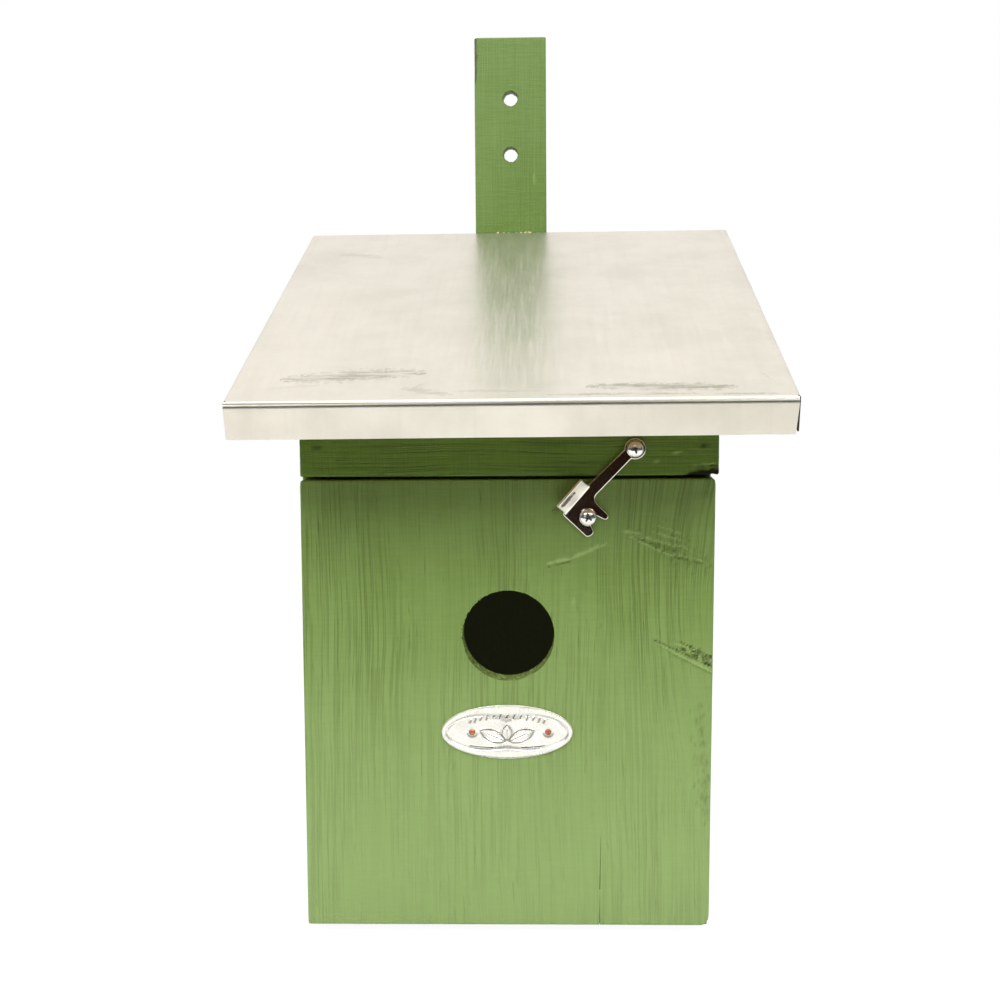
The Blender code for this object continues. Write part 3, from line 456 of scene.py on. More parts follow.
def marked_paint(graph, boards, place, shade, height):
    """Shade and height over raised, torn and shaded_hollow marks, and each point's painted shade
    amount.
    """
    raised, torn, shaded_hollow = (
        graph.add("ShaderNodeAttribute", attribute_name=kind).outputs["Fac"]
        for kind in ("raised", "torn", "shaded_hollow")
    )
    crumbs = graph.noise(graph.scaled(place, (800.0, 800.0, 480.0)), detail=4.0, roughness=0.75)
    pits = graph.math("MULTIPLY", torn, graph.span(crumbs, 0.36, 0.60, 0.15, 1.0))
    light = tinted(boards.paint_thin, (1.5, 1.45, 1.45))
    shade = graph.mix(graph.math("MULTIPLY", raised, 0.62), shade, light)
    shade = graph.mix(graph.math("MULTIPLY", pits, 0.92), shade, tuple(boards.paint_deep))
    # Painted shade: the shaded_hollow amount turns recesses and the torn corner's underside near black.
    shade = graph.mix(shaded_hollow, shade, (0.006, 0.006, 0.002))
    height = graph.math("MULTIPLY_ADD", pits, -1.6, height)
    height = graph.math("MULTIPLY_ADD", raised, 0.8, height)
    return shade, height, shaded_hollow


def bored_wall(graph, place, middle, radius, shade, height):
    """Shade and height with the wall of a bored hole left fuzzy and thinly painted."""
    across = graph.scaled(graph.vector_math("SUBTRACT", place, middle), (1.0, 0.0, 1.0))
    inside = graph.span(graph.vector_math("LENGTH", across), radius + 0.5 * MM, radius + 0.2 * MM)
    behind = graph.span(graph.split(place)[1], middle[1] + 0.25 * MM, middle[1] + 0.6 * MM)
    inside = graph.math("MULTIPLY", inside, behind)
    fuzz = graph.noise(graph.scaled(place, (900.0, 260.0, 900.0)), detail=4.0, roughness=0.7)
    fuzz = graph.span(fuzz, 0.36, 0.64)
    wall = graph.mix(fuzz, (0.105, 0.155, 0.030), (0.34, 0.45, 0.135))
    shade = graph.mix(inside, shade, wall)
    height = graph.math("MULTIPLY_ADD", graph.math("MULTIPLY", fuzz, inside), 1.2, height)
    return shade, height


def painted_wood(
    name, order, seed, coarse=1.0, tint=(1.0, 1.0, 1.0), painted_glow=0.0, marked=False, knots=(), bore=None
):
    """Brushed green paint over planed wood. Order turns its axes so that the grain runs along Z.

    A marked board has raised, torn and shaded_hollow amounts, the last painted shade. A bore is a
    hole's middle and radius.
    """
    boards = bpy.context.scene.nest_box_boards
    made, graph, shader = new_material(name)
    place, grained = place_vector(graph, order, (seed * 0.37, seed * 0.53, seed * 0.71))
    grained = bowed(graph, place, grained, knots)
    grain = graph.group("Board grain", vector=grained, coarse=coarse)
    pores, bands, lines, chatter = (grain.outputs[n] for n in ("Pores", "Bands", "Lines", "Chatter"))

    mottle = graph.noise(grained, scale=24.0, detail=4.0, roughness=0.6)
    mottle = graph.span(mottle, 0.3, 0.7)
    brushed = graph.noise(graph.scaled(grained, (1100.0, 400.0, 24.0)), detail=3.0, roughness=0.65)
    brushed = graph.span(brushed, 0.3, 0.7)
    thin = graph.math("MULTIPLY_ADD", brushed, 0.26, graph.math("MULTIPLY", mottle, 0.30))
    thin = graph.math("ADD", thin, graph.math("MULTIPLY", bands, 0.08))
    thin = graph.math("ADD", thin, graph.math("MULTIPLY", chatter, 0.14))
    shade = graph.mix(thin, tinted(boards.paint, tint), tinted(boards.paint_thin, tint))
    # Painted sheen: the paint turns paler, and its grain lines weaker, towards each board's foot, as
    # painted light below the roof's shade.
    drift = graph.noise(place, scale=9.0, detail=2.0)
    drift = graph.math("MULTIPLY_ADD", drift, 0.05, graph.split(place)[2])
    painted_sheen = graph.span(drift, 0.172, 0.042, 0.0, 0.60)
    shade = graph.mix(painted_sheen, shade, tinted(boards.painted_sheen, tint))
    deep = graph.math("MULTIPLY", pores, 0.20)
    deep = graph.math("MULTIPLY_ADD", lines, 0.34, deep)
    deep = graph.math("MULTIPLY", deep, graph.span(painted_sheen, 0.05, 0.5, 1.1, 0.45))
    shade = graph.mix(deep, shade, tinted(boards.paint_deep, tint))

    height = graph.math("MULTIPLY", pores, -0.5)
    for part, weight in ((bands, 0.25), (brushed, 0.30), (lines, -0.45), (chatter, 0.18)):
        height = graph.math("MULTIPLY_ADD", part, weight, height)
    rough = graph.math("MULTIPLY_ADD", mottle, 0.12, 0.40)
    rough = graph.math("MULTIPLY_ADD", pores, 0.25, rough)
    if marked:
        shade, height, shaded_hollow = marked_paint(graph, boards, place, shade, height)
        rough = graph.math("MULTIPLY_ADD", shaded_hollow, 0.5, rough)
    if bore:
        shade, height = bored_wall(graph, place, *bore, shade, height)
    graph.put(shader.inputs["Base Color"], shade)
    graph.put(shader.inputs["Roughness"], rough)
    graph.put(shader.inputs["Normal"], graph.bump(height, 0.20 * MM))
    shader.inputs["Specular IOR Level"].default_value = 0.32
    # Painted light: a faint glow, for light scattered inside a closed box.
    shader.inputs["Emission Color"].default_value = (0.60, 0.62, 0.30, 1.0)
    shader.inputs["Emission Strength"].default_value = painted_glow
    return made


# ---------------------------------------------------------------- meshes


def linked(name, data):
    """A new object in the scene that holds a mesh, light or camera."""
    obj = bpy.data.objects.new(name, data)
    bpy.context.scene.collection.objects.link(obj)
    return obj


def to_object(name, points, faces):
    mesh = bpy.data.meshes.new(name)
    mesh.from_pydata([tuple(p) for p in points], [], [tuple(f) for f in faces])
    mesh.validate()
    mesh.update()
    return linked(name, mesh)


def built(name, build):
    """A new object from a bmesh, which is freed."""
    mesh = bpy.data.meshes.new(name)
    build.to_mesh(mesh)
    build.free()
    return linked(name, mesh)


def face_outwards(obj):
    build = bmesh.new()
    build.from_mesh(obj.data)
    bmesh.ops.recalc_face_normals(build, faces=build.faces[:])
    build.to_mesh(obj.data)
    build.free()


def shade_round(obj, degrees=35.0):
    obj.data.shade_smooth()
    obj.data.set_sharp_from_angle(angle=math.radians(degrees))


def settle(obj):
    """Applies obj's modifiers to its mesh."""
    graph = bpy.context.evaluated_depsgraph_get()
    made = bpy.data.meshes.new_from_object(obj.evaluated_get(graph))
    obj.modifiers.clear()
    old = obj.data
    obj.data = made
    bpy.data.meshes.remove(old)


def carve(obj, cutters):
    """Cuts each cutter from obj and removes the cutters."""
    for cutter in cutters:
        boolean = obj.modifiers.new("carved", "BOOLEAN")
        boolean.operation = "DIFFERENCE"
        boolean.solver = "EXACT"
        boolean.object = cutter
    settle(obj)
    for cutter in cutters:
        mesh = cutter.data
        bpy.data.objects.remove(cutter)
        bpy.data.meshes.remove(mesh)


def grid_lines(low, high, pitch, arris, fine=()):
    """Places from low to high a pitch apart, closer over the rounded edges and in fine stretches."""
    edge = arris * np.array([0.0, 0.15, 0.4, 0.7, 1.0])
    inner = [low + arris]
    while inner[-1] < high - arris:
        step = pitch
        for start, end, closer in fine:
            if start <= inner[-1] <= end:
                step = closer
        inner.append(inner[-1] + step)
    inner = np.array(inner)
    inner = low + arris + (inner - inner[0]) * (high - low - 2 * arris) / (inner[-1] - inner[0])
    return np.concatenate([low + edge[:-1], inner, high - edge[:-1][::-1]])


def sawn_block(low, high, pitches, arris, fine=((), (), ())):
    """Points, outward directions and quads of a closed block with rounded edges."""
    lines = [grid_lines(l, h, p, arris, f) for l, h, p, f in zip(low, high, pitches, fine)]
    counts = [len(axis) for axis in lines]
    grid = np.indices(counts)
    on_skin = np.zeros(counts, bool)
    for axis, count in enumerate(counts):
        on_skin |= (grid[axis] == 0) | (grid[axis] == count - 1)
    number = np.full(counts, -1)
    number[on_skin] = np.arange(on_skin.sum())
    points = np.stack([lines[a][grid[a][on_skin]] for a in range(3)], 1)
    inner = np.clip(points, np.array(low) + arris, np.array(high) - arris)
    outward = points - inner
    outward /= np.linalg.norm(outward, axis=1)[:, None]
    points = inner + outward * arris
    faces = []
    for axis in range(3):
        for end, turned in ((0, True), (counts[axis] - 1, False)):
            skin = np.take(number, end, axis=axis)
            if axis == 1:
                turned = not turned
            a, b, c, d = skin[:-1, :-1], skin[1:, :-1], skin[1:, 1:], skin[:-1, 1:]
            quads = np.stack([a, b, c, d], -1).reshape(-1, 4)
            faces.append(quads[:, ::-1] if turned else quads)
    return points, outward, np.concatenate(faces)


SCAR_HEIGHT = {
    "ridge": 0.30 * MM,
    "line": -0.18 * MM,
    "pits": -0.35 * MM,
    "rough": -0.15 * MM,
    "shaded_hollow": -0.5 * MM,
}


def scar(points, front, marks):
    """Works marks into a board's front face; returns how raised, torn and shaded_hollow (painted shade)
    each point is.

    Each mark runs from a start to an end, as (x, z), with a width, a raggedness and a kind.
    """
    amounts = {kind: np.zeros(len(points)) for kind in ("raised", "torn", "shaded_hollow")}
    lift = np.zeros(len(points))
    on_face = points[:, 1] < front + FACE_DEPTH
    for start, end, width, ragged, kind in marks:
        start, run = np.array(start), np.array(end) - np.array(start)
        from_start = points[:, [0, 2]] - start
        share_done = np.clip(from_start @ run / run.dot(run), 0, 1)
        far = np.linalg.norm(from_start - share_done[:, None] * run, axis=1)
        near = on_face & (far < width * (1.4 + 1.6 * ragged))
        rag = np.zeros(len(points))
        rag[near] = ripple(points[near], (520.0, 520.0, 520.0), 4)
        rag[near] += 0.6 * ripple(points[near], (1300.0, 1300.0, 1300.0), 7)
        taper = np.sqrt(np.clip(4 * (0.04 + 0.92 * share_done) * (0.96 - 0.92 * share_done), 0, 1))
        reach = far / width + rag * ragged
        mask = np.where(near, np.clip((taper - reach) / (0.7 * taper), 0, 1), 0.0)
        if kind in ("pits", "rough"):
            mask[near] *= np.clip(0.5 + 2.2 * ripple(points[near], (900.0, 900.0, 620.0), 12), 0, 1)
        label = {"ridge": "raised", "shaded_hollow": "shaded_hollow"}.get(kind, "torn")
        strength = {"rough": 0.4, "shaded_hollow": 0.75}.get(kind, 1.0)
        amounts[label] = np.maximum(amounts[label], mask * strength)
        lift += mask * SCAR_HEIGHT[kind]
    points[:, 1] -= lift
    return amounts


def keep_amounts(obj, amounts):
    for kind, values in amounts.items():
        attribute = obj.data.attributes.new(kind, "FLOAT", "POINT")
        attribute.data.foreach_set("value", values.astype(np.float32))


def ripple(points, scale, seed):
    """Smooth noise from -1 to 1 at each point, after stretching the points by scale."""
    shift = Vector((seed * 3.1, seed * 1.7, seed * 2.3))
    stretched = points * np.array(scale)
    return np.array([noise.noise(Vector(p) + shift) for p in stretched])


def block_between(name, low, high):
    build = bmesh.new()
    size = [h - l for l, h in zip(low, high)]
    middle = [(l + h) / 2 for l, h in zip(low, high)]
    place = Matrix.Translation(middle) @ Matrix.Diagonal((*size, 1))
    bmesh.ops.create_cube(build, size=1, matrix=place)
    return built(name, build)


def lofted(name, rings):
    """A closed body through rings of equally many points."""
    count = len(rings[0])
    points = [p for ring in rings for p in ring]
    faces = []
    for level in range(len(rings) - 1):
        base = level * count
        for i in range(count):
            j = (i + 1) % count
            faces.append((base + i, base + j, base + count + j, base + count + i))
    faces.append(tuple(range(count))[::-1])
    faces.append(tuple((len(rings) - 1) * count + i for i in range(count)))
    obj = to_object(name, points, faces)
    face_outwards(obj)
    return obj


def round_ring(x, z, depth, radii):
    """Points round a middle in the plane at a depth, one for each radius."""
    turns = [2 * math.pi * i / len(radii) for i in range(len(radii))]
    return [(x + r * math.cos(a), depth, z + r * math.sin(a)) for r, a in zip(radii, turns)]


def rod(name, start, end, radius, sides=24):
    start, end = Vector(start), Vector(end)
    turn = (end - start).to_track_quat("Z", "Y").to_matrix().to_4x4()
    build = bmesh.new()
    bmesh.ops.create_cone(
        build,
        cap_ends=True,
        segments=sides,
        radius1=radius,
        radius2=radius,
        depth=(end - start).length,
        matrix=Matrix.Translation((start + end) / 2) @ turn,
    )
    return built(name, build)


def finish_piece(obj, body, node, material, degrees=35.0):
    """Gives a new piece its material, body and replaced node."""
    obj.data.materials.clear()
    obj.data.materials.append(material)
    shade_round(obj, degrees)
    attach(obj, body)
    if node:
        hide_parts(node)


def coat(node, material):
    """Gives a carried-over node a material."""
    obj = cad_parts[node]
    if obj.material_slots:
        for slot in obj.material_slots:
            slot.material = material
    else:
        obj.data.materials.append(material)


def point_on_panel(across, up, out=0.0):
    """A point on the panel's face: across from its middle, up from its lower edge, in millimetres."""
    return Vector((PANEL_MID[0] + across * MM, PANEL_LOW[1] - out * MM, PANEL_LOW[2] + up * MM))


def entry_middle(boards):
    """The entry hole's middle on the panel's face."""
    return point_on_panel(boards.entry_side / MM, boards.entry_height / MM)


# ---------------------------------------------------------------- operators


class NESTBOX_OT_effects(bpy.types.Operator):
    """Make the shared grain, streak and wear effects"""

    bl_idname = "nest_box.effects"
    bl_label = "Shared Effects"

    def execute(self, context):
        make_grain_group()
        make_streak_group()
        make_wear_group()
        return {"FINISHED"}


class NESTBOX_OT_front_panel(bpy.types.Operator):
    """Make the hinged front panel with its torn entry hole, shake and worn corner"""

    bl_idname = "nest_box.front_panel"
    bl_label = "Front Panel"

    def execute(self, context):
        boards = context.scene.nest_box_boards
        pitch = boards.grain_pitch
        foot, middle = PANEL_LOW[2], PANEL_MID[0]
        fine_up = [
            (foot + low * MM, foot + high * MM, 0.55 * MM) for low, high in ((90, 106), (124, 145))
        ]
        fine_across = [(middle + 44 * MM, PANEL_HIGH[0], 0.5 * MM)]
        points, outward, faces = sawn_block(
            PANEL_LOW,
            PANEL_HIGH,
            (pitch, BOARD_STEP, 1.7 * MM),
            boards.arris,
            (fine_across, (), fine_up),
        )
        grain = 0.45 * ripple(points, (420.0, 200.0, 16.0), 1)
        grain = grain + 0.7 * ripple(points, (900.0, 300.0, 30.0), 2)
        sag = ripple(points, (30.0, 30.0, 14.0), 3)
        points += outward * (grain * boards.relief + sag * boards.relief)[:, None]
        points[:, 1] -= self.ridges(points)
        amounts = scar(points, PANEL_LOW[1], self.marks())
        self.round_corners(points)
        self.saw_taper(points)
        obj = to_object("front_panel_painted", points, faces)
        keep_amounts(obj, amounts)
        carve(obj, self.cutters(boards))
        knots = [
            (tuple(point_on_panel(64.0, 132.0)), 36 * MM, 5.0 * MM),
            (tuple(point_on_panel(72.0, 96.0)), 34 * MM, 5.0 * MM),
        ]
        bore = (tuple(entry_middle(boards)), boards.entry_radius)
        material = painted_wood(
            "front panel paint", (0, 1, 2), 1.0, marked=True, knots=knots, bore=bore
        )
        finish_piece(obj, "door", "front_panel", material)
        return {"FINISHED"}

    def marks(self):
        """Knot shakes, torn grain and specks, as (across, up) in millimetres on the panel's face."""
        listed = [
            ((40.0, 141.4), (45.5, 140.6), 0.7, 0.5, "ridge"),
            ((41.5, 139.6), (47.0, 138.6), 0.5, 0.5, "ridge"),
            ((43.2, 139.7), (50.0, 136.7), 0.40, 0.3, "line"),
            ((48.5, 137.4), (57.5, 133.6), 1.5, 0.9, "pits"),
            ((45.0, 137.9), (57.5, 132.2), 0.5, 0.5, "ridge"),
            ((47.0, 139.6), (57.5, 136.0), 0.45, 0.8, "ridge"),
            ((50.0, 141.0), (60.0, 138.0), 0.45, 1.0, "ridge"),
            ((52.0, 143.0), (60.0, 140.4), 0.40, 1.0, "ridge"),
            ((54.0, 137.8), (63.0, 134.8), 0.45, 1.0, "ridge"),
            ((57.0, 132.4), (67.5, 129.6), 0.45, 0.8, "line"),
            ((57.0, 133.4), (67.5, 130.6), 0.40, 0.8, "ridge"),
            ((50.6, 103.3), (58.5, 99.6), 0.35, 0.4, "line"),
            ((51.0, 102.4), (58.5, 98.4), 0.40, 0.4, "ridge"),
            ((57.5, 98.6), (71.6, 91.4), 0.55, 0.4, "ridge"),
            ((57.0, 100.4), (71.0, 93.6), 0.35, 0.5, "line"),
            ((60.0, 102.2), (71.3, 97.0), 0.35, 0.7, "line"),
            ((58.0, 101.8), (70.0, 97.9), 0.45, 0.8, "ridge"),
            ((59.0, 100.9), (71.3, 95.6), 1.9, 1.2, "pits"),
            ((62.0, 99.6), (71.3, 95.4), 0.40, 0.9, "ridge"),
            ((64.0, 97.0), (71.3, 93.9), 0.35, 0.7, "ridge"),
            ((67.9, 95.3), (70.9, 94.2), 0.75, 0.4, "shaded_hollow"),
            ((13.5, 130.0), (24.0, 132.2), 1.0, 0.7, "ridge"),
            ((21.5, 131.6), (34.0, 137.2), 0.9, 0.8, "ridge"),
            ((14.5, 129.0), (23.0, 131.0), 0.30, 0.5, "line"),
            ((31.8, 107.7), (33.0, 108.1), 0.7, 0.4, "line"),
            ((52.0, 141.5), (69.0, 128.0), 4.6, 1.5, "rough"),
            ((66.5, 78.0), (69.5, 40.0), 3.2, 1.4, "rough"),
            ((-28.3, 49.6), (-27.7, 49.9), 0.7, 0.2, "ridge"),
            ((-37.3, 39.4), (-36.8, 39.6), 0.6, 0.2, "ridge"),
            ((22.8, 116.4), (23.3, 116.8), 0.6, 0.2, "ridge"),
            ((66.4, 12.6), (67.1, 13.2), 0.7, 0.2, "ridge"),
            ((12.0, 150.0), (24.0, 147.0), 0.6, 1.2, "line"),
            ((-22.0, 57.0), (-17.5, 58.5), 1.2, 1.3, "rough"),
        ]
        return [
            (point_on_panel(*start).xz, point_on_panel(*end).xz, width * MM, ragged, kind)
            for start, end, width, ragged, kind in listed
        ]

    def ridges(self, points):
        """How far the fibres round the knots stand out of the face."""
        out = np.zeros(len(points))
        across = (points[:, 0] - PANEL_MID[0]) / MM
        up = (points[:, 2] - PANEL_LOW[2]) / MM
        for start, end, width, height in (
            ((40.0, 141.8), (60.0, 132.6), 1.6, 0.55),
            ((55.0, 101.8), (71.6, 94.2), 1.9, 0.45),
            ((57.0, 98.9), (71.6, 91.6), 0.8, 0.55),
            ((13.5, 130.0), (34.0, 137.0), 1.5, 0.40),
            ((46.0, 128.0), (70.0, 120.0), 3.0, 0.22),
            ((29.0, 106.6), (42.0, 110.6), 2.2, 0.25),
            ((42.0, 110.6), (54.0, 103.0), 2.2, 0.25),
        ):
            run = np.array(end) - np.array(start)
            share_done = ((across - start[0]) * run[0] + (up - start[1]) * run[1]) / run.dot(run)
            share_done = np.clip(share_done, 0, 1)
            far = np.hypot(across - start[0] - share_done * run[0], up - start[1] - share_done * run[1])
            lift = height * np.exp(-((far / width) ** 2)) * np.sin(math.pi * (0.12 + 0.76 * share_done))
            out += np.where(points[:, 1] < PANEL_LOW[1] + FACE_DEPTH, lift, 0.0)
        return out * MM

    def saw_taper(self, points):
        """Leans the sides a little, as the saw left them."""
        up = np.clip((points[:, 2] - PANEL_LOW[2]) / (PANEL_HIGH[2] - PANEL_LOW[2]), 0, 1)
        across = np.clip((points[:, 0] - PANEL_LOW[0]) / (PANEL_HIGH[0] - PANEL_LOW[0]), 0, 1)
        left = -0.2 + 0.7 * up
        right = -0.4 + 1.1 * up
        points[:, 0] += (left * (1 - across) + right * across) * MM

    def round_corners(self, points):
        """Rounds the panel's corners, the lower right one most."""
        radii = {(1, -1): 3.5 * MM, (-1, -1): 1.1 * MM, (1, 1): 1.6 * MM, (-1, 1): 1.3 * MM}
        half = (PANEL_HIGH - PANEL_LOW) / 2
        for (side, end), radius in radii.items():
            reach_x = side * (points[:, 0] - PANEL_MID[0]) - (half[0] - radius)
            reach_z = end * (points[:, 2] - PANEL_MID[2]) - (half[2] - radius)
            inside = (reach_x > 0) & (reach_z > 0)
            far = np.hypot(reach_x, reach_z)
            pull = np.where(inside & (far > radius), radius / np.maximum(far, 1e-9), 1.0)
            points[:, 0] += side * np.where(inside, reach_x * (pull - 1), 0.0)
            points[:, 2] += end * np.where(inside, reach_z * (pull - 1), 0.0)

    def cutters(self, boards):
        front, back = PANEL_LOW[1], PANEL_HIGH[1]
        middle = entry_middle(boards)
        steady = random.Random(ENTRY_SEED)
        teeth = []
        for i in range(ENTRY_SIDES):
            angle = 2 * math.pi * i / ENTRY_SIDES
            upper_left = max(0.0, math.cos(angle - math.radians(158))) ** 3
            nick = max(0.0, math.cos(angle - math.radians(298))) ** 160
            tooth = steady.choice((-0.1, 0.0, 0.1, 0.35, 0.6)) * upper_left
            teeth.append((tooth - 0.5 * nick + steady.uniform(-0.07, 0.09)) * MM)
        levels = [
            (front + depth * MM, share_torn)
            for depth, share_torn in ((-2.0, 1.2), (0.15, 0.9), (0.9, 0.35), (2.4, 0.1), (5.0, 0.0))
        ]
        rings = []
        for depth, share_torn in (*levels, (back + CLEAR, 0.0)):
            radii = [boards.entry_radius + tooth * share_torn for tooth in teeth]
            rings.append(round_ring(middle.x, middle.z, depth, radii))
        made = [lofted("entry", rings)]

        shake = point_on_panel(32.4, 0.0)
        for foot, top, wide, lean in ((-2.0, 12.4, 0.42, 0.0), (13.2, 33.5, 0.34, 0.35)):
            low = shake + Vector((0, 0, foot * MM))
            high = shake + Vector((lean * MM, 0, top * MM))
            ends = []
            for end, size in ((low, wide), (high, 0.08)):
                ends.append(
                    [
                        (end.x - size * MM / 2, front - 1 * MM, end.z),
                        (end.x + size * MM / 2, front - 1 * MM, end.z),
                        (end.x + 0.02 * MM, front + 2.2 * MM, end.z),
                        (end.x - 0.02 * MM, front + 2.2 * MM, end.z),
                    ]
                )
            made.append(lofted("shake", ends))
        for side in SIDES:
            low, high = node_box("hinge_eye_" + side)
            pin_low, pin_high = node_box("hinge_pin_" + side)
            gap = 0.5 * MM
            made.append(
                block_between(
                    "notch",
                    (low[0] - gap, low[1] - gap, PANEL_LOW[2] - CLEAR),
                    (high[0] + gap, back + CLEAR, high[2] + gap),
                )
            )
            middle_pin = (pin_low + pin_high) / 2
            reach = 0.15 * MM
            made.append(
                rod(
                    "pin hole",
                    (pin_low[0] - CLEAR, middle_pin[1], middle_pin[2]),
                    (pin_high[0] + CLEAR, middle_pin[1], middle_pin[2]),
                    (pin_high[2] - pin_low[2]) / 2 + reach,
                )
            )
        made.append(self.heel())
        made.append(screw_bore(KEEPER_LOW, KEEPER_HIGH, front, boards.screw_bore))
        for side in SIDES:
            made.append(screw_bore(*node_box("plate_tack_" + side), front, boards.tack_bore))
        return made

    def heel(self):
        """What is taken off the lower back edge so that the panel clears the floor as it drops."""
        pin_low, pin_high = node_box("hinge_pin_left")
        axis_y, axis_z = (pin_low[1] + pin_high[1]) / 2, (pin_low[2] + pin_high[2]) / 2
        radius = PANEL_HIGH[1] - axis_y + 0.2 * MM
        profile = []
        for i in range(13):
            angle = math.radians(4 - 98 * i / 12)
            profile.append((axis_y + radius * math.cos(angle), axis_z + radius * math.sin(angle)))
        under = PANEL_LOW[2] - 3 * MM
        past = PANEL_HIGH[1] + 3 * MM
        profile += [(profile[-1][0], under), (past, under), (past, profile[0][1])]
        ends = (PANEL_LOW[0] - 3 * MM, PANEL_HIGH[0] + 3 * MM)
        return lofted("heel", [[(x, y, z) for y, z in profile] for x in ends])


def screw_bore(low, high, front, radius):
    """A cutter for the hole of a screw or tack driven straight in from the front."""
    middle = (low + high) / 2
    end = (middle[0], high[1] + 0.4 * MM, middle[2])
    return rod("bore", (middle[0], front - CLEAR, middle[2]), end, radius, 20)


class NESTBOX_OT_front_rail(bpy.types.Operator):
    """Make the rail above the panel with its chipped lower corner"""

    bl_idname = "nest_box.front_rail"
    bl_label = "Front Rail"

    def execute(self, context):
        boards = context.scene.nest_box_boards
        points, outward, faces = sawn_block(
            RAIL_LOW, RAIL_HIGH, (1.6 * MM, BOARD_STEP, boards.grain_pitch), boards.arris
        )
        grain = ripple(points, (14.0, 200.0, 420.0), 5) + 0.5 * ripple(points, (40.0, 300.0, 900.0), 6)
        points += outward * (grain * boards.relief * 1.2)[:, None]
        left, right, foot = RAIL_LOW[0] / MM, RAIL_HIGH[0] / MM, RAIL_LOW[2] / MM
        amounts = scar(points, RAIL_LOW[1], self.marks(left, right, foot))
        for side in SIDES:
            middle = node_middle("rail_nail_" + side)
            far = np.hypot(points[:, 0] - middle[0], points[:, 2] - middle[2])
            on_face = points[:, 1] < RAIL_LOW[1] + FACE_DEPTH
            swell = np.clip((3.6 * MM - far) / (1.6 * MM), 0, 1)
            points[:, 1] -= np.where(on_face, 0.16 * MM * swell, 0.0)
            # Painted shade: a near-black spot in each sunk nail's recess.
            spot = np.where(on_face, np.clip((1.25 * MM - far) / (0.7 * MM), 0, 1), 0.0)
            amounts["shaded_hollow"] = np.maximum(amounts["shaded_hollow"], spot * 0.9)
        amounts["shaded_hollow"] = np.maximum(amounts["shaded_hollow"], self.torn_corner(points))
        self.chip(points)
        obj = to_object("front_rail_painted", points, faces)
        keep_amounts(obj, amounts)
        seats = []
        for side in SIDES:
            low, high = node_box("rail_nail_" + side)
            middle = (low + high) / 2
            skin = (middle[0], RAIL_LOW[1] - 0.02 * MM, middle[2])
            head_end = (middle[0], RAIL_LOW[1] + 0.9 * MM, middle[2])
            behind = (middle[0], RAIL_HIGH[1] + CLEAR, middle[2])
            seats.append(rod("nail seat", skin, head_end, (high[0] - low[0]) / 2 + 0.02 * MM, 40))
            seats.append(rod("nail hole", head_end, behind, NAIL_BORE, 16))
        seats.append(screw_bore(PIVOT_LOW, PIVOT_HIGH, RAIL_LOW[1], boards.screw_bore))
        carve(obj, seats)
        # The rail's tint darkens its paint and deepens its green: painted shade from the roof's
        # overhang.
        material = painted_wood(
            "front rail paint", (2, 1, 0), 2.0, coarse=1.1, tint=(0.61, 0.71, 0.24), marked=True
        )
        finish_piece(obj, "box", "front_rail", material)
        return {"FINISHED"}

    def marks(self, left, right, foot):
        """Scratches and the torn corner, in millimetres."""
        listed = [
            ((left + 22, foot + 20.4), (left + 64, foot + 20.1), 0.7, 0.35, "ridge"),
            ((left + 21, foot + 19.3), (left + 62, foot + 19.0), 0.6, 0.3, "line"),
            ((left + 70, foot + 19.6), (left + 77, foot + 19.6), 0.6, 0.3, "ridge"),
            ((right - 16.5, foot + 7.9), (right - 12.5, foot + 8.0), 0.7, 0.4, "ridge"),
            ((right - 22.0, foot + 5.0), (right - 20.0, foot + 5.1), 0.6, 0.3, "ridge"),
            ((right - 43, foot + 15), (right - 33, foot + 15.2), 0.6, 0.4, "ridge"),
            ((right - 11, foot + 2.8), (right + 1, foot + 3.4), 0.9, 1.0, "pits"),
            ((right - 9, foot + 3.4), (right - 1, foot + 4.2), 0.5, 0.8, "ridge"),
            ((left + 20, foot + 23), (left + 23, foot + 21), 0.6, 0.5, "ridge"),
        ]
        return [
            ((a[0] * MM, a[1] * MM), (b[0] * MM, b[1] * MM), width * MM, ragged, kind)
            for a, b, width, ragged, kind in listed
        ]

    def torn_corner(self, points):
        """How far each point lies in the painted shade under the torn corner."""
        from_end = (RAIL_HIGH[0] - points[:, 0]) / MM
        up = (points[:, 2] - RAIL_LOW[2]) / MM
        reach = np.interp(from_end, (0.0, 3.0, 9.0, 14.0), (2.2, 2.3, 1.5, 0.0))
        reach = reach + 0.5 * ripple(points, (700.0, 120.0, 0.0), 9)
        return np.where(from_end < 14, np.clip((reach - up) / 0.5, 0, 1), 0.0)

    def chip(self, points):
        """Tears the lower right corner away: the lower edge rises towards the right end."""
        start, full = RAIL_HIGH[0] - 12 * MM, RAIL_HIGH[0] - 7 * MM
        share_done = np.clip((points[:, 0] - start) / (full - start), 0, 1)
        rise = share_done * share_done * (3 - 2 * share_done) * 0.3 * MM
        rise += share_done * ripple(points, (500.0, 120.0, 0.0), 9) * 0.5 * MM
        deep = np.clip((points[:, 1] - RAIL_LOW[1]) / (5 * MM), 0, 1)
        rise *= 1 - 0.75 * deep * deep
        up = points[:, 2] - RAIL_LOW[2]
        reach = 6 * MM
        points[:, 2] += rise * np.clip(1 - up / reach, 0, 1)


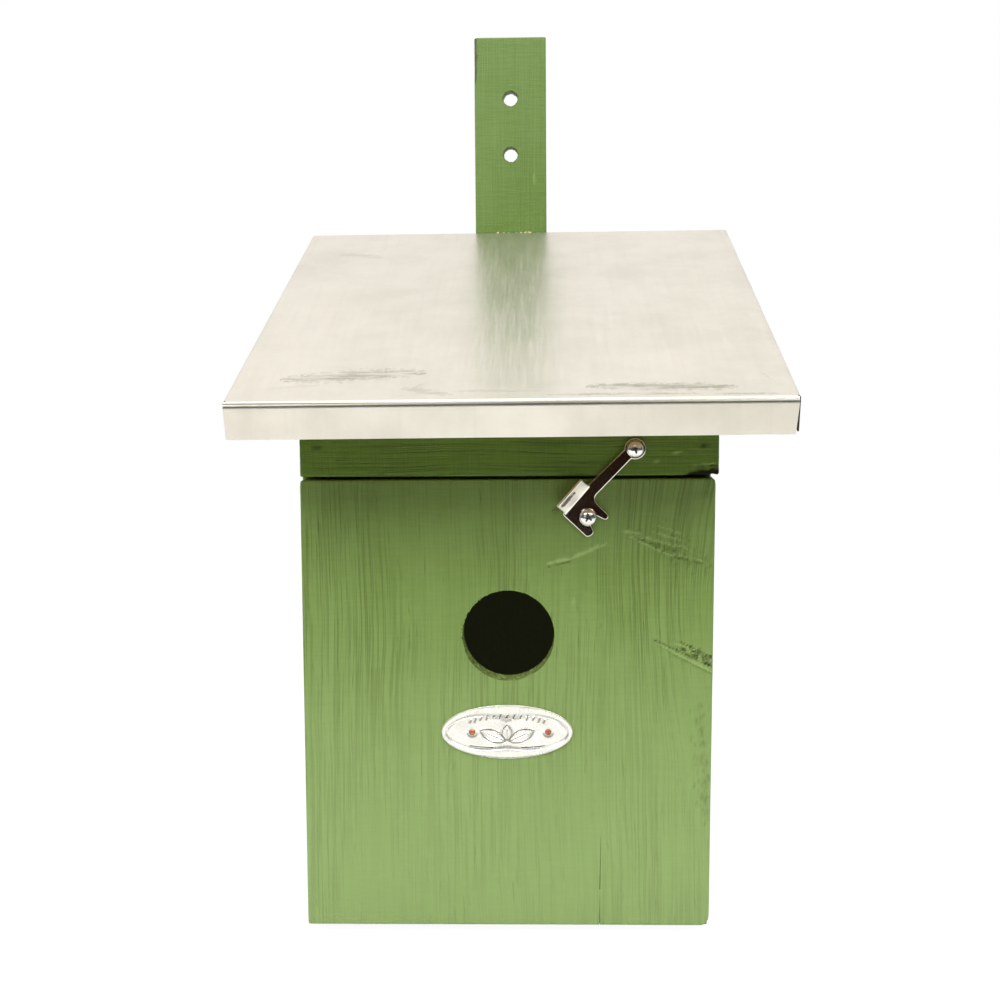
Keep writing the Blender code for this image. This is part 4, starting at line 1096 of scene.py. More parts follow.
class NESTBOX_OT_batten(bpy.types.Operator):
    """Make the hanging batten with its two holes, waney arris and broken splinters"""

    bl_idname = "nest_box.batten"
    bl_label = "Hanging Batten"

    def execute(self, context):
        boards = context.scene.nest_box_boards
        points, outward, faces = sawn_block(
            BATTEN_LOW, BATTEN_HIGH, (boards.grain_pitch, BOARD_STEP, 2.4 * MM), boards.arris
        )
        grain = ripple(points, (420.0, 200.0, 12.0), 15)
        grain = grain + 0.5 * ripple(points, (900.0, 300.0, 30.0), 16)
        points += outward * (grain * boards.relief * 0.8)[:, None]
        left, top = BATTEN_LOW[0], BATTEN_HIGH[2]
        middle = (BATTEN_LOW[0] + BATTEN_HIGH[0]) / 2
        marks = [
            ((left + 0.2 * MM, top + 2 * MM), (left + 0.3 * MM, top - 18 * MM), 1.2 * MM, 0.3, "line"),
            (
                (middle + 10 * MM, top - 58 * MM),
                (middle + 10.3 * MM, top - 63 * MM),
                0.8 * MM,
                0.3,
                "ridge",
            ),
        ]
        amounts = scar(points, BATTEN_LOW[1], marks)
        self.wane(points)
        obj = to_object("mounting_batten_painted", points, faces)
        keep_amounts(obj, amounts)
        holes = []
        steady = random.Random(HANGING_HOLE_SEED)
        for down in HANGING_HOLES_DOWN:
            z = BATTEN_HIGH[2] - down
            rings = []
            rough = [steady.uniform(-0.12, 0.16) * MM for _ in range(HANGING_HOLE_SIDES)]
            for depth, flare in (
                (BATTEN_LOW[1] - CLEAR, 1.25),
                (BATTEN_LOW[1] + 0.1 * MM, 1.1),
                (BATTEN_LOW[1] + 0.8 * MM, 1.0),
                (BATTEN_HIGH[1] + CLEAR, 1.0),
            ):
                radii = [HANGING_HOLE_RADIUS * flare + out for out in rough]
                rings.append(round_ring(middle, z, depth, radii))
            holes.append(lofted("hanging hole", rings))
        for level in ("low", "high"):
            x, _, z = node_middle("batten_screw_" + level)
            start, end = (x, BATTEN_LOW[1] - CLEAR, z), (x, BATTEN_LOW[1] + 7 * MM, z)
            holes.append(rod("screw hole", start, end, BATTEN_SCREW_BORE, 20))
        carve(obj, holes)
        material = painted_wood(
            "batten paint", (0, 1, 2), 3.0, coarse=0.35, tint=(0.93, 0.97, 0.97), marked=True
        )
        finish_piece(obj, "box", "mounting_batten", material)
        self.splinters(boards)
        return {"FINISHED"}

    def wane(self, points):
        """Takes the upper left arris off, as on wood cut close to the bark."""
        top = BATTEN_HIGH[2]
        down = np.clip((points[:, 2] - (top - 19 * MM)) / (4 * MM), 0, 1)
        near = np.clip(1 - (points[:, 0] - BATTEN_LOW[0]) / (1.1 * MM), 0, 1)
        front = np.clip(1 - (points[:, 1] - BATTEN_LOW[1]) / (6 * MM), 0, 1)
        points[:, 1] += down * near * front * 2.4 * MM

    def splinters(self, boards):
        """Bare wood torn up where the roof's back edge was pressed against the batten."""
        steady = random.Random(SPLINTER_SEED)
        noise.seed_set(SPLINTER_SEED)  # vector noise follows the clock unless it is seeded
        level = SHEET_HIGH[2]
        build = bmesh.new()
        middle = (BATTEN_LOW[0] + BATTEN_HIGH[0]) / 2
        for _ in range(SPLINTERS):
            x = middle + steady.uniform(-7.5, 9.5) * MM
            wide = steady.uniform(0.3, 0.95) * MM
            tall = steady.uniform(0.25, 1.0) * MM
            deep = steady.uniform(0.2, 0.55) * MM
            z = level + steady.uniform(-0.7, 0.35) * MM
            y = BATTEN_LOW[1] - deep * 0.5
            turn = Matrix.Rotation(steady.uniform(-0.7, 0.7), 4, "Y") @ Matrix.Rotation(
                steady.uniform(-0.3, 0.5), 4, "X"
            )
            matrix = Matrix.Translation((x, y, z)) @ turn @ Matrix.Diagonal((wide, deep, tall, 1))
            made = bmesh.ops.create_icosphere(build, subdivisions=2, radius=0.6, matrix=matrix)
            for vertex in made["verts"]:
                vertex.co += Vector(noise.noise_vector(vertex.co * 1900.0)) * 0.16 * MM
        obj = built("batten_splinters", build)
        made, graph, shader = new_material("broken wood")
        _, grained = place_vector(graph)
        fibres = graph.noise(graph.scaled(grained, (900.0, 900.0, 250.0)), detail=3.0)
        fibres = graph.span(fibres, 0.3, 0.7)
        tone = graph.mix(fibres, tuple(boards.bare), (0.90, 0.76, 0.48))
        graph.put(shader.inputs["Base Color"], tone)
        graph.put(shader.inputs["Roughness"], graph.math("MULTIPLY_ADD", fibres, 0.2, 0.6))
        graph.put(shader.inputs["Normal"], graph.bump(fibres, 0.2 * MM))
        finish_piece(obj, "box", None, made, 60.0)


class NESTBOX_OT_boards(bpy.types.Operator):
    """Paint the side, back and floor boards and finish the bare roof board"""

    bl_idname = "nest_box.boards"
    bl_label = "Box Boards"

    def execute(self, context):
        coat("side_board_left", painted_wood("left side paint", (1, 0, 2), 4.0))
        coat("side_board_right", painted_wood("right side paint", (1, 0, 2), 5.0))
        # The back board's paint glows faintly: painted light inside the box.
        coat("back_board", painted_wood("back paint", (0, 1, 2), 6.0, painted_glow=0.012))
        coat("floor_board", painted_wood("floor paint", (1, 2, 0), 7.0))
        coat("roof_board", self.bare_pine())
        return {"FINISHED"}

    def bare_pine(self):
        made, graph, shader = new_material("bare pine")
        _, grained = place_vector(graph, (1, 2, 0), (0.2, 0.1, 0.4))
        grain = graph.group("Board grain", vector=grained, coarse=1.0)
        tone = graph.mix(grain.outputs["Bands"], (0.62, 0.42, 0.21), (0.42, 0.25, 0.10))
        tone = graph.mix(graph.math("MULTIPLY", grain.outputs["Pores"], 0.6), tone, (0.22, 0.12, 0.05))
        graph.put(shader.inputs["Base Color"], tone)
        rough = graph.math("MULTIPLY_ADD", grain.outputs["Lines"], 0.2, 0.6)
        graph.put(shader.inputs["Roughness"], rough)
        graph.put(shader.inputs["Normal"], graph.bump(grain.outputs["Pores"], -0.15 * MM))
        return made


# Each streak: the side it is measured from, its start and end as (across, up the slope) and its width,
# all in millimetres, and its strength.
ROOF_SMEARS = (
    ("left", (15, 21), (62, 27), 7.5, 0.75),
    ("left", (55, 12), (72, 5), 3.4, 0.50),
    ("left", (70, 9), (100, 8), 2.2, 0.40),
    ("right", (-66, 12), (-18, 10), 5.0, 0.78),
    ("right", (-80, 4.6), (-30, 4.2), 1.6, 0.55),
    ("right", (-28, 3.6), (-3, 3.4), 1.3, 0.55),
    ("right", (-10, 25), (-6, 12), 1.0, 0.4),
    ("left", (62, 17), (58, 10), 1.4, 0.35),
    ("left", (8, 12), (30, 16), 2.0, 0.25),
    ("left", (16, 176), (34, 170), 5.0, 0.30),
)
ROOF_CREASES = (
    ("left", (4, 3), (4, 198), 0.35, 1.0),
    ("right", (-3.5, 3), (-3.5, 198), 0.35, 1.0),
    ("left", (6.5, 180), (50, 180), 0.45, 1.0),
)


class NESTBOX_OT_roof(bpy.types.Operator):
    """Fold the zinc sheet: a top with a front flange and two side flanges, open at the corners"""

    bl_idname = "nest_box.roof"
    bl_label = "Zinc Roof"

    def execute(self, context):
        roof = context.scene.nest_box_roof
        obj = self.sheet(roof)
        material = self.zinc(roof)
        finish_piece(obj, "box", "roof_sheet", material, 50.0)
        return {"FINISHED"}

    def sheet(self, roof):
        half = (SHEET_HIGH[0] - SHEET_LOW[0]) / 2
        middle = (SHEET_HIGH[0] + SHEET_LOW[0]) / 2
        frame_turn = Matrix.Rotation(roof.pitch_angle, 4, "X")
        # the front fold's crown touches the foremost point, and the back edge the rearmost
        sin, cos = math.sin(roof.pitch_angle), math.cos(roof.pitch_angle)
        tip = Vector((middle, SHEET_LOW[1] - roof.front_bend * (cos + sin - 1), 0))
        long = (SHEET_HIGH[1] - roof.flange * sin - tip.y) / cos
        tip.z = SHEET_HIGH[2] - long * sin
        place = Matrix.Translation(tip) @ frame_turn @ Matrix.Rotation(roof.lean, 4, "Y")

        across = self.strip_lines(half, roof.side_bend, roof.flange, both=True)
        along = self.strip_lines(long, roof.front_bend, roof.flange, both=False)
        rows, faces, points = {}, [], []
        for i, s in enumerate(across):
            for j, t in enumerate(along):
                past_side = abs(s) > half - roof.side_bend + 1e-9
                past_front = t < roof.front_bend - 1e-9
                if past_side and t < roof.front_bend + 0.5 * MM - 1e-9 and not past_front:
                    continue
                if past_front and abs(s) > half - (0.3 * MM if s < 0 else 0.5 * MM):
                    continue
                rows[i, j] = len(points)
                points.append(place @ Vector(self.folded(s, t, half, roof)))
        for i in range(len(across) - 1):
            for j in range(len(along) - 1):
                corners = [(i, j), (i, j + 1), (i + 1, j + 1), (i + 1, j)]
                if all(c in rows for c in corners):
                    faces.append([rows[c] for c in corners][::-1])
        obj = to_object("roof_sheet_folded", points, faces)
        build = bmesh.new()
        build.from_mesh(obj.data)
        bmesh.ops.delete(build, geom=[v for v in build.verts if not v.link_faces], context="VERTS")
        build.to_mesh(obj.data)
        build.free()
        solid = obj.modifiers.new("thickness", "SOLIDIFY")
        solid.thickness = roof.thickness
        solid.offset = -1.0
        solid.use_even_offset = True
        settle(obj)
        return obj

    def strip_lines(self, reach, bend, flange, both):
        """Places across the flat pattern, dense over the bends. The front pattern starts below zero."""
        arc = bend * math.pi / 2
        fold = [bend - arc * i / 8 for i in range(9)]
        leg = [bend - arc - (flange - bend) * i / 6 for i in range(1, 7)]
        tail = [bend + 0.15 * MM, bend + 0.5 * MM]
        if not both:
            flat = np.linspace(bend + 3 * MM, reach, 56)
            return sorted(leg + fold + tail + list(flat))
        side = [reach - x for x in fold + leg + tail]
        flat = np.linspace(-(reach - bend - 3 * MM), reach - bend - 3 * MM, 52)
        return sorted(set([-x for x in side] + list(flat) + side))

    def bent(self, over, bend):
        """How far past the fold's start a point lies: inwards-out distance and drop."""
        arc = bend * math.pi / 2
        if over <= 0:
            return 0.0, 0.0
        if over < arc:
            angle = over / bend
            return bend * math.sin(angle), bend * (1 - math.cos(angle))
        return bend, bend + over - arc

    def folded(self, s, t, half, roof):
        side = 1 if s > 0 else -1
        out_x, drop_x = self.bent(abs(s) - (half - roof.side_bend), roof.side_bend)
        out_y, drop_y = self.bent(roof.front_bend - t, roof.front_bend)
        if t < roof.front_bend - 1e-9:
            out_x, drop_x = max(0.0, abs(s) - (half - roof.side_bend)), 0.0
        x = side * (min(abs(s), half - roof.side_bend) + out_x)
        y = max(t, roof.front_bend) - out_y
        wave = 0.10 * MM * noise.noise(Vector((x * 22, y * 26, 3.0)))
        edge = min(1.0, (half - abs(x)) / (12 * MM)) * min(1.0, y / (10 * MM))
        z = wave * max(0.0, edge) - drop_x - drop_y
        if drop_y > roof.front_bend:
            low = (drop_y - roof.front_bend) / roof.flange
            y += low * 0.25 * MM * noise.noise(Vector((x * 30, 0, 7.0)))
            if side > 0:
                x -= low * 0.9 * MM * max(0.0, (abs(x) - (half - 6 * MM)) / (6 * MM))
        return x, y, z

    def slope_point(self, roof, x, up):
        """The point on the sheet at x, and up the slope from the foremost edge."""
        back_y = SHEET_HIGH[1] - roof.flange * math.sin(roof.pitch_angle)
        y = SHEET_LOW[1] + up * math.cos(roof.pitch_angle)
        return x, y, SHEET_HIGH[2] - (back_y - y) * math.tan(roof.pitch_angle)

    def on_slope(self, roof, listed):
        """Streaks in the object's own frame, from places across and up the slope."""
        sides = {"left": SHEET_LOW[0], "right": SHEET_HIGH[0]}
        for side, start, end, width, strength in listed:
            ends = [
                self.slope_point(roof, sides[side] + across * MM, up * MM)
                for across, up in (start, end)
            ]
            yield *ends, width * MM, strength

    def zinc(self, roof):
        made, graph, shader, place, wear = worn_metal("rolled zinc", 42.0, (900.0, 30.0, 30.0))
        clouds, scratches, specks = (wear[n] for n in ("Clouds", "Scratches", "Specks"))
        tone = graph.mix(graph.math("MULTIPLY", clouds, 0.75), tuple(roof.zinc), tuple(roof.zinc_dull))
        blush = graph.span(graph.noise(place, scale=18.0, detail=3.0), 0.4, 0.65)
        tone = graph.mix(graph.math("MULTIPLY", blush, 0.35), tone, (0.79, 0.735, 0.665))
        rolled = graph.noise(graph.scaled(place, (420.0, 14.0, 14.0)), detail=3.0, roughness=0.6)
        tone = graph.mix(graph.span(rolled, 0.5, 0.75, 0.0, 0.16), tone, (0.52, 0.50, 0.43))
        left, right = SHEET_LOW[0], SHEET_HIGH[0]
        sin, cos = math.sin(roof.pitch_angle), math.cos(roof.pitch_angle)
        grime = strongest(graph, place, self.on_slope(roof, ROOF_SMEARS), 0.8)
        crease = strongest(graph, place, self.on_slope(roof, ROOF_CREASES), 0.5)
        blot = graph.noise(graph.scaled(place, (70.0, 460.0, 460.0)), detail=5.0, roughness=0.68)
        grime = graph.math("MULTIPLY", grime, graph.span(blot, 0.36, 0.66, 0.2))
        specks = graph.math("MULTIPLY", specks, graph.math("MULTIPLY", clouds, 0.16))
        grime = graph.math("MAXIMUM", grime, specks)
        grime = graph.math("MAXIMUM", grime, graph.math("MULTIPLY", crease, 0.28))
        tone = graph.mix(grime, tone, tuple(roof.grime))

        axes = graph.split(place)
        facing = graph.add("ShaderNodeTexCoord").outputs["Normal"]
        forward = graph.vector_math("DOT_PRODUCT", facing, (0.0, -cos, -sin))
        inward = graph.math("MULTIPLY", graph.split(facing)[0], axes[0])
        from_fold = graph.vector_math("SUBTRACT", place, self.slope_point(roof, 0.0, 0.0))
        from_fold = graph.vector_math("DOT_PRODUCT", from_fold, (0.0, cos, sin))
        flange = graph.span(forward, 0.85, 0.98)
        shaded = graph.math("MULTIPLY", flange, graph.span(axes[0], 0.0, right, 0.16, 0.34))
        tone = graph.mix(shaded, tone, (0.40, 0.37, 0.31))
        # painted reflection: the outside of the front fold is painted dark, widest towards the left,
        # for the dark room mirrored in the bend
        edge = graph.math("ADD", graph.span(axes[0], left, left + 70 * MM, -0.16, 0.0), 0.62)
        painted_fold_reflection = graph.math(
            "MULTIPLY",
            graph.span(forward, edge, graph.math("ADD", edge, 0.1)),
            graph.span(forward, 0.975, 0.93),
        )
        tone = graph.mix(graph.math("MULTIPLY", painted_fold_reflection, 0.85), tone, (0.10, 0.10, 0.075))
        # the cut ends and inner faces of the folded edges are dull, and painted near black as painted
        # shade
        past_fold = graph.span(from_fold, 1.4 * MM, 1.8 * MM)
        cut = graph.math("MULTIPLY", graph.span(forward, 0.5, 0.8), past_fold)
        inner = graph.span(inward, -0.0005, -0.03)
        dull_and_painted_shade = graph.math("MAXIMUM", cut, inner)
        tone = graph.mix(dull_and_painted_shade, tone, (0.035, 0.022, 0.014))
        graph.put(shader.inputs["Base Color"], tone)
        rough = graph.math("MULTIPLY_ADD", clouds, 0.05, 0.29)
        rough = graph.math("MULTIPLY_ADD", scratches, 0.06, rough)
        rough = graph.math("MULTIPLY_ADD", grime, 0.25, rough)
        rough = graph.math("MULTIPLY_ADD", dull_and_painted_shade, 0.35, rough)
        graph.put(shader.inputs["Roughness"], rough)
        metal = graph.math("MULTIPLY_ADD", grime, -0.5, 0.93)
        graph.put(shader.inputs["Metallic"], graph.math("MULTIPLY_ADD", dull_and_painted_shade, -0.6, metal, clamp=True))
        height = graph.math("MULTIPLY_ADD", scratches, 0.2, clouds)
        graph.put(shader.inputs["Normal"], graph.bump(height, 0.005 * MM))
        return made


class NESTBOX_OT_latch(bpy.types.Operator):
    """Finish the swinging hook with rounded, plated edges"""

    bl_idname = "nest_box.latch"
    bl_label = "Latch Hook"

    def execute(self, context):
        metals = context.scene.nest_box_metals
        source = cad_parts["latch_hook"]
        mesh = source.data.copy()
        mesh.name = "latch_hook_plated"
        build = bmesh.new()
        build.from_mesh(mesh)
        bmesh.ops.remove_doubles(build, verts=build.verts[:], dist=0.01 * MM)
        bmesh.ops.dissolve_limit(
            build,
            angle_limit=math.radians(1.0),
            verts=build.verts[:],
            edges=build.edges[:],
        )
        build.to_mesh(mesh)
        build.free()
        obj = linked("latch_hook_plated", mesh)
        bevel = obj.modifiers.new("rolled edges", "BEVEL")
        bevel.width = 0.30 * MM
        bevel.segments = 3
        bevel.use_clamp_overlap = False
        bevel.limit_method = "ANGLE"
        bevel.angle_limit = math.radians(40)
        bevel.harden_normals = False
        made, graph, shader, place, wear = worn_metal("plated latch", 140.0, (60.0, 60.0, 60.0))
        dulled = graph.math("MULTIPLY", wear["Clouds"], 0.35)
        tone = graph.mix(dulled, tuple(metals.nickel), darker(metals.nickel, 0.86))
        facing = graph.split(graph.add("ShaderNodeTexCoord").outputs["Normal"])
        rim = graph.span(graph.math("ABSOLUTE", facing[1]), 0.97, 0.80)
        lit_rim = graph.math("MULTIPLY", rim, graph.span(facing[2], 0.6, 0.2, 0.2, 1.0))
        tone = graph.mix(lit_rim, tone, (1.0, 0.97, 0.92))
        pivot = (PIVOT_LOW + PIVOT_HIGH) / 2
        # Painted reflection: a dark streak across the hook's bent tab.
        painted_tab_reflection = graph.group(
            "Streak",
            vector=place,
            start=(pivot[0] - 20.6 * MM, HOOK_LOW[1] + 1.5 * MM, pivot[2] - 14.2 * MM),
            end=(pivot[0] - 25.6 * MM, HOOK_LOW[1] + 1.5 * MM, pivot[2] - 19.6 * MM),
            width=1.9 * MM,
            ragged=1.0,
        ).outputs["Mask"]
        painted_tab_reflection = graph.math("MULTIPLY", painted_tab_reflection, graph.math("MULTIPLY", rim, 0.85))
        tone = graph.mix(painted_tab_reflection, tone, (0.06, 0.035, 0.02))
        graph.put(shader.inputs["Base Color"], tone)
        shader.inputs["Metallic"].default_value = 1.0
        rough = graph.math("MULTIPLY_ADD", wear["Clouds"], 0.05, 0.07)
        graph.put(shader.inputs["Roughness"], graph.math("MULTIPLY_ADD", rim, 0.30, rough))
        graph.put(shader.inputs["Normal"], graph.bump(wear["Clouds"], 0.006 * MM))
        finish_piece(obj, "latch", "latch_hook", made, 40.0)
        return {"FINISHED"}


class NESTBOX_OT_screws(bpy.types.Operator):
    """Turn the two bright pan-head screws with their cross recesses"""

    bl_idname = "nest_box.screws"
    bl_label = "Latch Screws"

    def execute(self, context):
        metals = context.scene.nest_box_metals
        made, graph, shader, _, wear = worn_metal("bright screw", 420.0, (300.0, 300.0, 300.0))
        tone = graph.mix(wear["Clouds"], tuple(metals.chrome), darker(metals.chrome, 0.84))
        graph.put(shader.inputs["Base Color"], tone)
        shader.inputs["Metallic"].default_value = 1.0
        graph.put(shader.inputs["Roughness"], graph.math("MULTIPLY_ADD", wear["Clouds"], 0.08, 0.12))
        graph.put(shader.inputs["Normal"], graph.bump(wear["Clouds"], 0.02 * MM))
        for node, body, turn in (
            ("latch_pivot_screw", "box", 12.0),
            ("latch_keeper_screw", "door", -33.0),
        ):
            obj = self.screw(node, math.radians(turn))
            finish_piece(obj, body, node, made, 32.0)
        coat("batten_screw_low", made)
        coat("batten_screw_high", made)
        return {"FINISHED"}

    def screw(self, node, turn):
        low, high = node_box(node)
        middle = (low + high) / 2
        radius = (high[0] - low[0]) / 2
        tall = 2.1 * MM
        shank = 1.5 * MM
        profile = [(0.02 * MM, 0.0)]
        for i in range(1, 15):
            angle = math.radians(90 * i / 14)
            profile.append((radius * math.sin(angle) ** 0.92, tall * 0.86 * (1 - math.cos(angle))))
        profile += [
            (radius, tall * 0.95),
            (radius * 0.985, tall),
            (shank, tall),
            (shank, high[1] - low[1] - 2.4 * MM),
            (0.02 * MM, high[1] - low[1]),
        ]
        rings = [
            round_ring(middle[0], middle[2], low[1] + deep, [r] * SCREW_SIDES) for r, deep in profile
        ]
        obj = lofted(node + "_turned", rings)
        cutters = []
        for quarter in range(2):
            wide, narrow, deep = 1.75 * MM, 0.34 * MM, 1.25 * MM
            ends = []
            for depth, shrink in ((-1 * MM, 1.25), (deep, 0.52)):
                ring = []
                for a, b in ((-1, -1), (1, -1), (1, 1), (-1, 1)):
                    u, v = a * wide * shrink, b * narrow * (0.6 + 0.4 * shrink)
                    angle = turn + quarter * math.pi / 2
                    ring.append(
                        (
                            middle[0] + u * math.cos(angle) - v * math.sin(angle),
                            low[1] + depth,
                            middle[2] + u * math.sin(angle) + v * math.cos(angle),
                        )
                    )
                ends.append(ring)
            cutters.append(lofted("recess", ends))
        carve(obj, cutters)
        return obj


class NESTBOX_OT_plate(bpy.types.Operator):
    """Press the oval plate with its rim, sprout and dashes, and copper its tacks"""

    bl_idname = "nest_box.plate"
    bl_label = "Oval Plate"

    def execute(self, context):
        metals = context.scene.nest_box_metals
        obj = self.plate(metals)
        made, graph, shader, _, wear = worn_metal("pressed aluminium", 160.0, (1200.0, 200.0, 200.0))
        dulled = graph.math("MULTIPLY", wear["Clouds"], 0.5)
        tone = graph.mix(dulled, tuple(metals.aluminium), darker(metals.aluminium, 0.86))
        # The pressed lines and the rim's groove are drawn dark, with a painted shadow below each tack.
        dark_lines_and_tack_shadow = graph.add("ShaderNodeAttribute", attribute_name="dark_lines_and_tack_shadow").outputs["Fac"]
        tone = graph.mix(dark_lines_and_tack_shadow, tone, (0.20, 0.18, 0.145))
        graph.put(shader.inputs["Base Color"], tone)
        shader.inputs["Metallic"].default_value = 0.6
        graph.put(shader.inputs["Roughness"], graph.math("MULTIPLY_ADD", wear["Clouds"], 0.10, 0.22))
        graph.put(shader.inputs["Normal"], graph.bump(wear["Scratches"], 0.012 * MM))
        finish_piece(obj, "door", "name_plate", made, 80.0)

        copper, graph, shader, _, wear = worn_metal("coppered tack", 900.0, (500.0, 500.0, 500.0))
        tone = graph.mix(wear["Clouds"], tuple(metals.copper), darker(metals.copper, 0.5))
        graph.put(shader.inputs["Base Color"], tone)
        shader.inputs["Metallic"].default_value = 0.8
        graph.put(shader.inputs["Roughness"], graph.math("MULTIPLY_ADD", wear["Clouds"], 0.2, 0.3))
        for side in SIDES:
            coat("plate_tack_" + side, copper)
        return {"FINISHED"}

    def plate(self, metals):
        wide, tall = (PLATE_HIGH[0] - PLATE_LOW[0]) / 2, (PLATE_HIGH[2] - PLATE_LOW[2]) / 2
        middle = (PLATE_LOW + PLATE_HIGH) / 2
        rings, around = PLATE_RINGS, PLATE_SIDES
        shares = np.sin(np.linspace(0, math.pi / 2, rings + 1)) ** 0.9
        angles = np.linspace(0, 2 * math.pi, around, endpoint=False)
        share_out, angle = np.meshgrid(shares[1:], angles, indexing="ij")
        x, z = wide * share_out * np.cos(angle), tall * share_out * np.sin(angle)
        out, dark_lines_and_tack_shadow = self.height(x / MM, z / MM, share_out, wide / MM, tall / MM, metals)
        out = out * MM
        seat = PLATE_HIGH[1]
        front = np.stack([middle[0] + x, seat - out, middle[2] + z], -1).reshape(-1, 3)
        centre_out = self.height(
            np.zeros((1, 1)), np.zeros((1, 1)), np.zeros((1, 1)), wide / MM, tall / MM, metals
        )[0][0, 0] * MM
        points = [np.array([middle[0], seat - centre_out, middle[2]])] + list(front)
        back_rim = [
            np.array([middle[0] + wide * math.cos(a), seat, middle[2] + tall * math.sin(a)])
            for a in angles
        ]
        first_back = len(points)
        points += back_rim
        faces = []
        for i in range(around):
            j = (i + 1) % around
            faces.append((0, 1 + j, 1 + i))
            for ring in range(rings - 1):
                a, b = 1 + ring * around, 1 + (ring + 1) * around
                faces.append((a + i, a + j, b + j, b + i))
            last = 1 + (rings - 1) * around
            faces.append((last + i, last + j, first_back + j, first_back + i))
        faces.append(tuple(first_back + i for i in range(around)))
        obj = to_object("name_plate_embossed", points, faces)
        keep_amounts(obj, {"dark_lines_and_tack_shadow": np.concatenate([[0.0], dark_lines_and_tack_shadow.ravel(), np.zeros(around)])})
        face_outwards(obj)
        return obj

    def height(self, x, z, share_out, wide, tall, metals):
        """Height of the plate's face above its seat, in millimetres."""

        def ease(value, low, high):
            t = np.clip((value - low) / (high - low), 0, 1)
            return t * t * (3 - 2 * t)

        angle = np.arctan2(z * wide / tall, x)
        radius = np.hypot(wide * np.cos(angle), tall * np.sin(angle))
        squeeze = wide * tall / (radius * np.hypot(tall * np.cos(angle), wide * np.sin(angle)) + 1e-9)
        inset = (1 - share_out) * radius * np.minimum(1.0, squeeze * radius / wide)
        rim = metals.rim / MM
        out = 0.35 + 0.3 * ease(inset, 0.0, 0.35)
        out += 0.32 * (1 - ease(inset, rim - 0.3, rim + 0.15)) * ease(inset, 0.0, 0.4)
        out -= 0.16 * np.exp(-(((inset - rim - 0.55) / 0.28) ** 2))
        relief = metals.relief / MM
        line = self.strokes(x, z)
        lip = self.strokes(x, z - 0.42)
        out += relief * (0.55 * lip - 0.75 * line)
        rim_line = np.exp(-(((inset - rim - 0.3) / 0.26) ** 2))
        patchy = 0.5 + 0.35 * np.cos(2 * angle + 0.6) * np.cos(5 * angle + 1.0)
        rim_line *= np.clip(patchy + 0.25 * np.abs(np.sin(angle)), 0, 1)
        dark_lines_and_tack_shadow = np.clip(0.85 * line + 0.6 * rim_line, 0, 1)
        out += 0.05 * np.cos(x * 0.42 + 0.8) * np.cos(z * 0.7)
        for tack_side in SIDES:
            tack = (node_middle("plate_tack_" + tack_side) - node_middle("name_plate")) / MM
            far = np.hypot(x - tack[0], z - tack[2])
            flat = 1 - ease(far, 1.2, 2.2)
            out = out * (1 - flat) + 0.52 * flat
            # Painted shadow: a dark arc just below each tack's head.
            painted_tack_shadow = np.exp(-(((far - 1.75) / 0.35) ** 2)) * (z < tack[2] - 0.3)
            dark_lines_and_tack_shadow = np.clip(dark_lines_and_tack_shadow * (1 - flat) + 0.7 * painted_tack_shadow, 0, 1)
        return out, dark_lines_and_tack_shadow

    def strokes(self, x, z):
        """How deep each point lies in the pressed lines: a sprout, ground lines and dashes."""
        mask = np.zeros_like(x)
        for path, width in self.paths():
            for (x0, z0), (x1, z1) in zip(path[:-1], path[1:]):
                run_x, run_z = x1 - x0, z1 - z0
                t = np.clip(((x - x0) * run_x + (z - z0) * run_z) / (run_x**2 + run_z**2), 0, 1)
                far = np.hypot(x - x0 - t * run_x, z - z0 - t * run_z)
                mask = np.maximum(mask, np.clip(1.5 - far / width, 0, 1))
        return mask

    def paths(self):
        """The pressed lines: points in millimetres from the plate's middle, and a half width."""
        made = []
        for lean, size in ((-66.0, 9.6), (0.0, 5.6), (66.0, 9.6)):
            a = math.radians(lean)
            upper, lower, vein = [], [], []
            for i in range(11):
                t = i / 10
                swell = (0.22 if lean else 0.30) * size * math.sin(math.pi * t) ** 0.8
                for side, path in ((1, upper), (-1, lower), (0, vein)):
                    u, v = 0.6 + size * t, side * swell
                    across = u * math.sin(a) + v * math.cos(a)
                    path.append((across, -3.7 + u * math.cos(a) - v * math.sin(a)))
            made += [(upper, 0.22), (lower, 0.20), (vein[:8], 0.14)]
        ground = [(-13.0 + i, -4.2 - 1.5 * math.sqrt(1 - ((i - 13) / 15) ** 2)) for i in range(27)]
        made.append((ground[:9], 0.18))
        made.append((ground[18:], 0.18))
        for i in range(-6, 7):
            angle = math.radians(90 - i * 8.2)
            middle_x, middle_z = 17.0 * math.cos(angle), 5.5 * math.sin(angle)
            tall = 0.75 if i % 2 else 0.5
            made.append(([(middle_x - 0.3, middle_z - tall), (middle_x + 0.3, middle_z + tall)], 0.24))
        return made


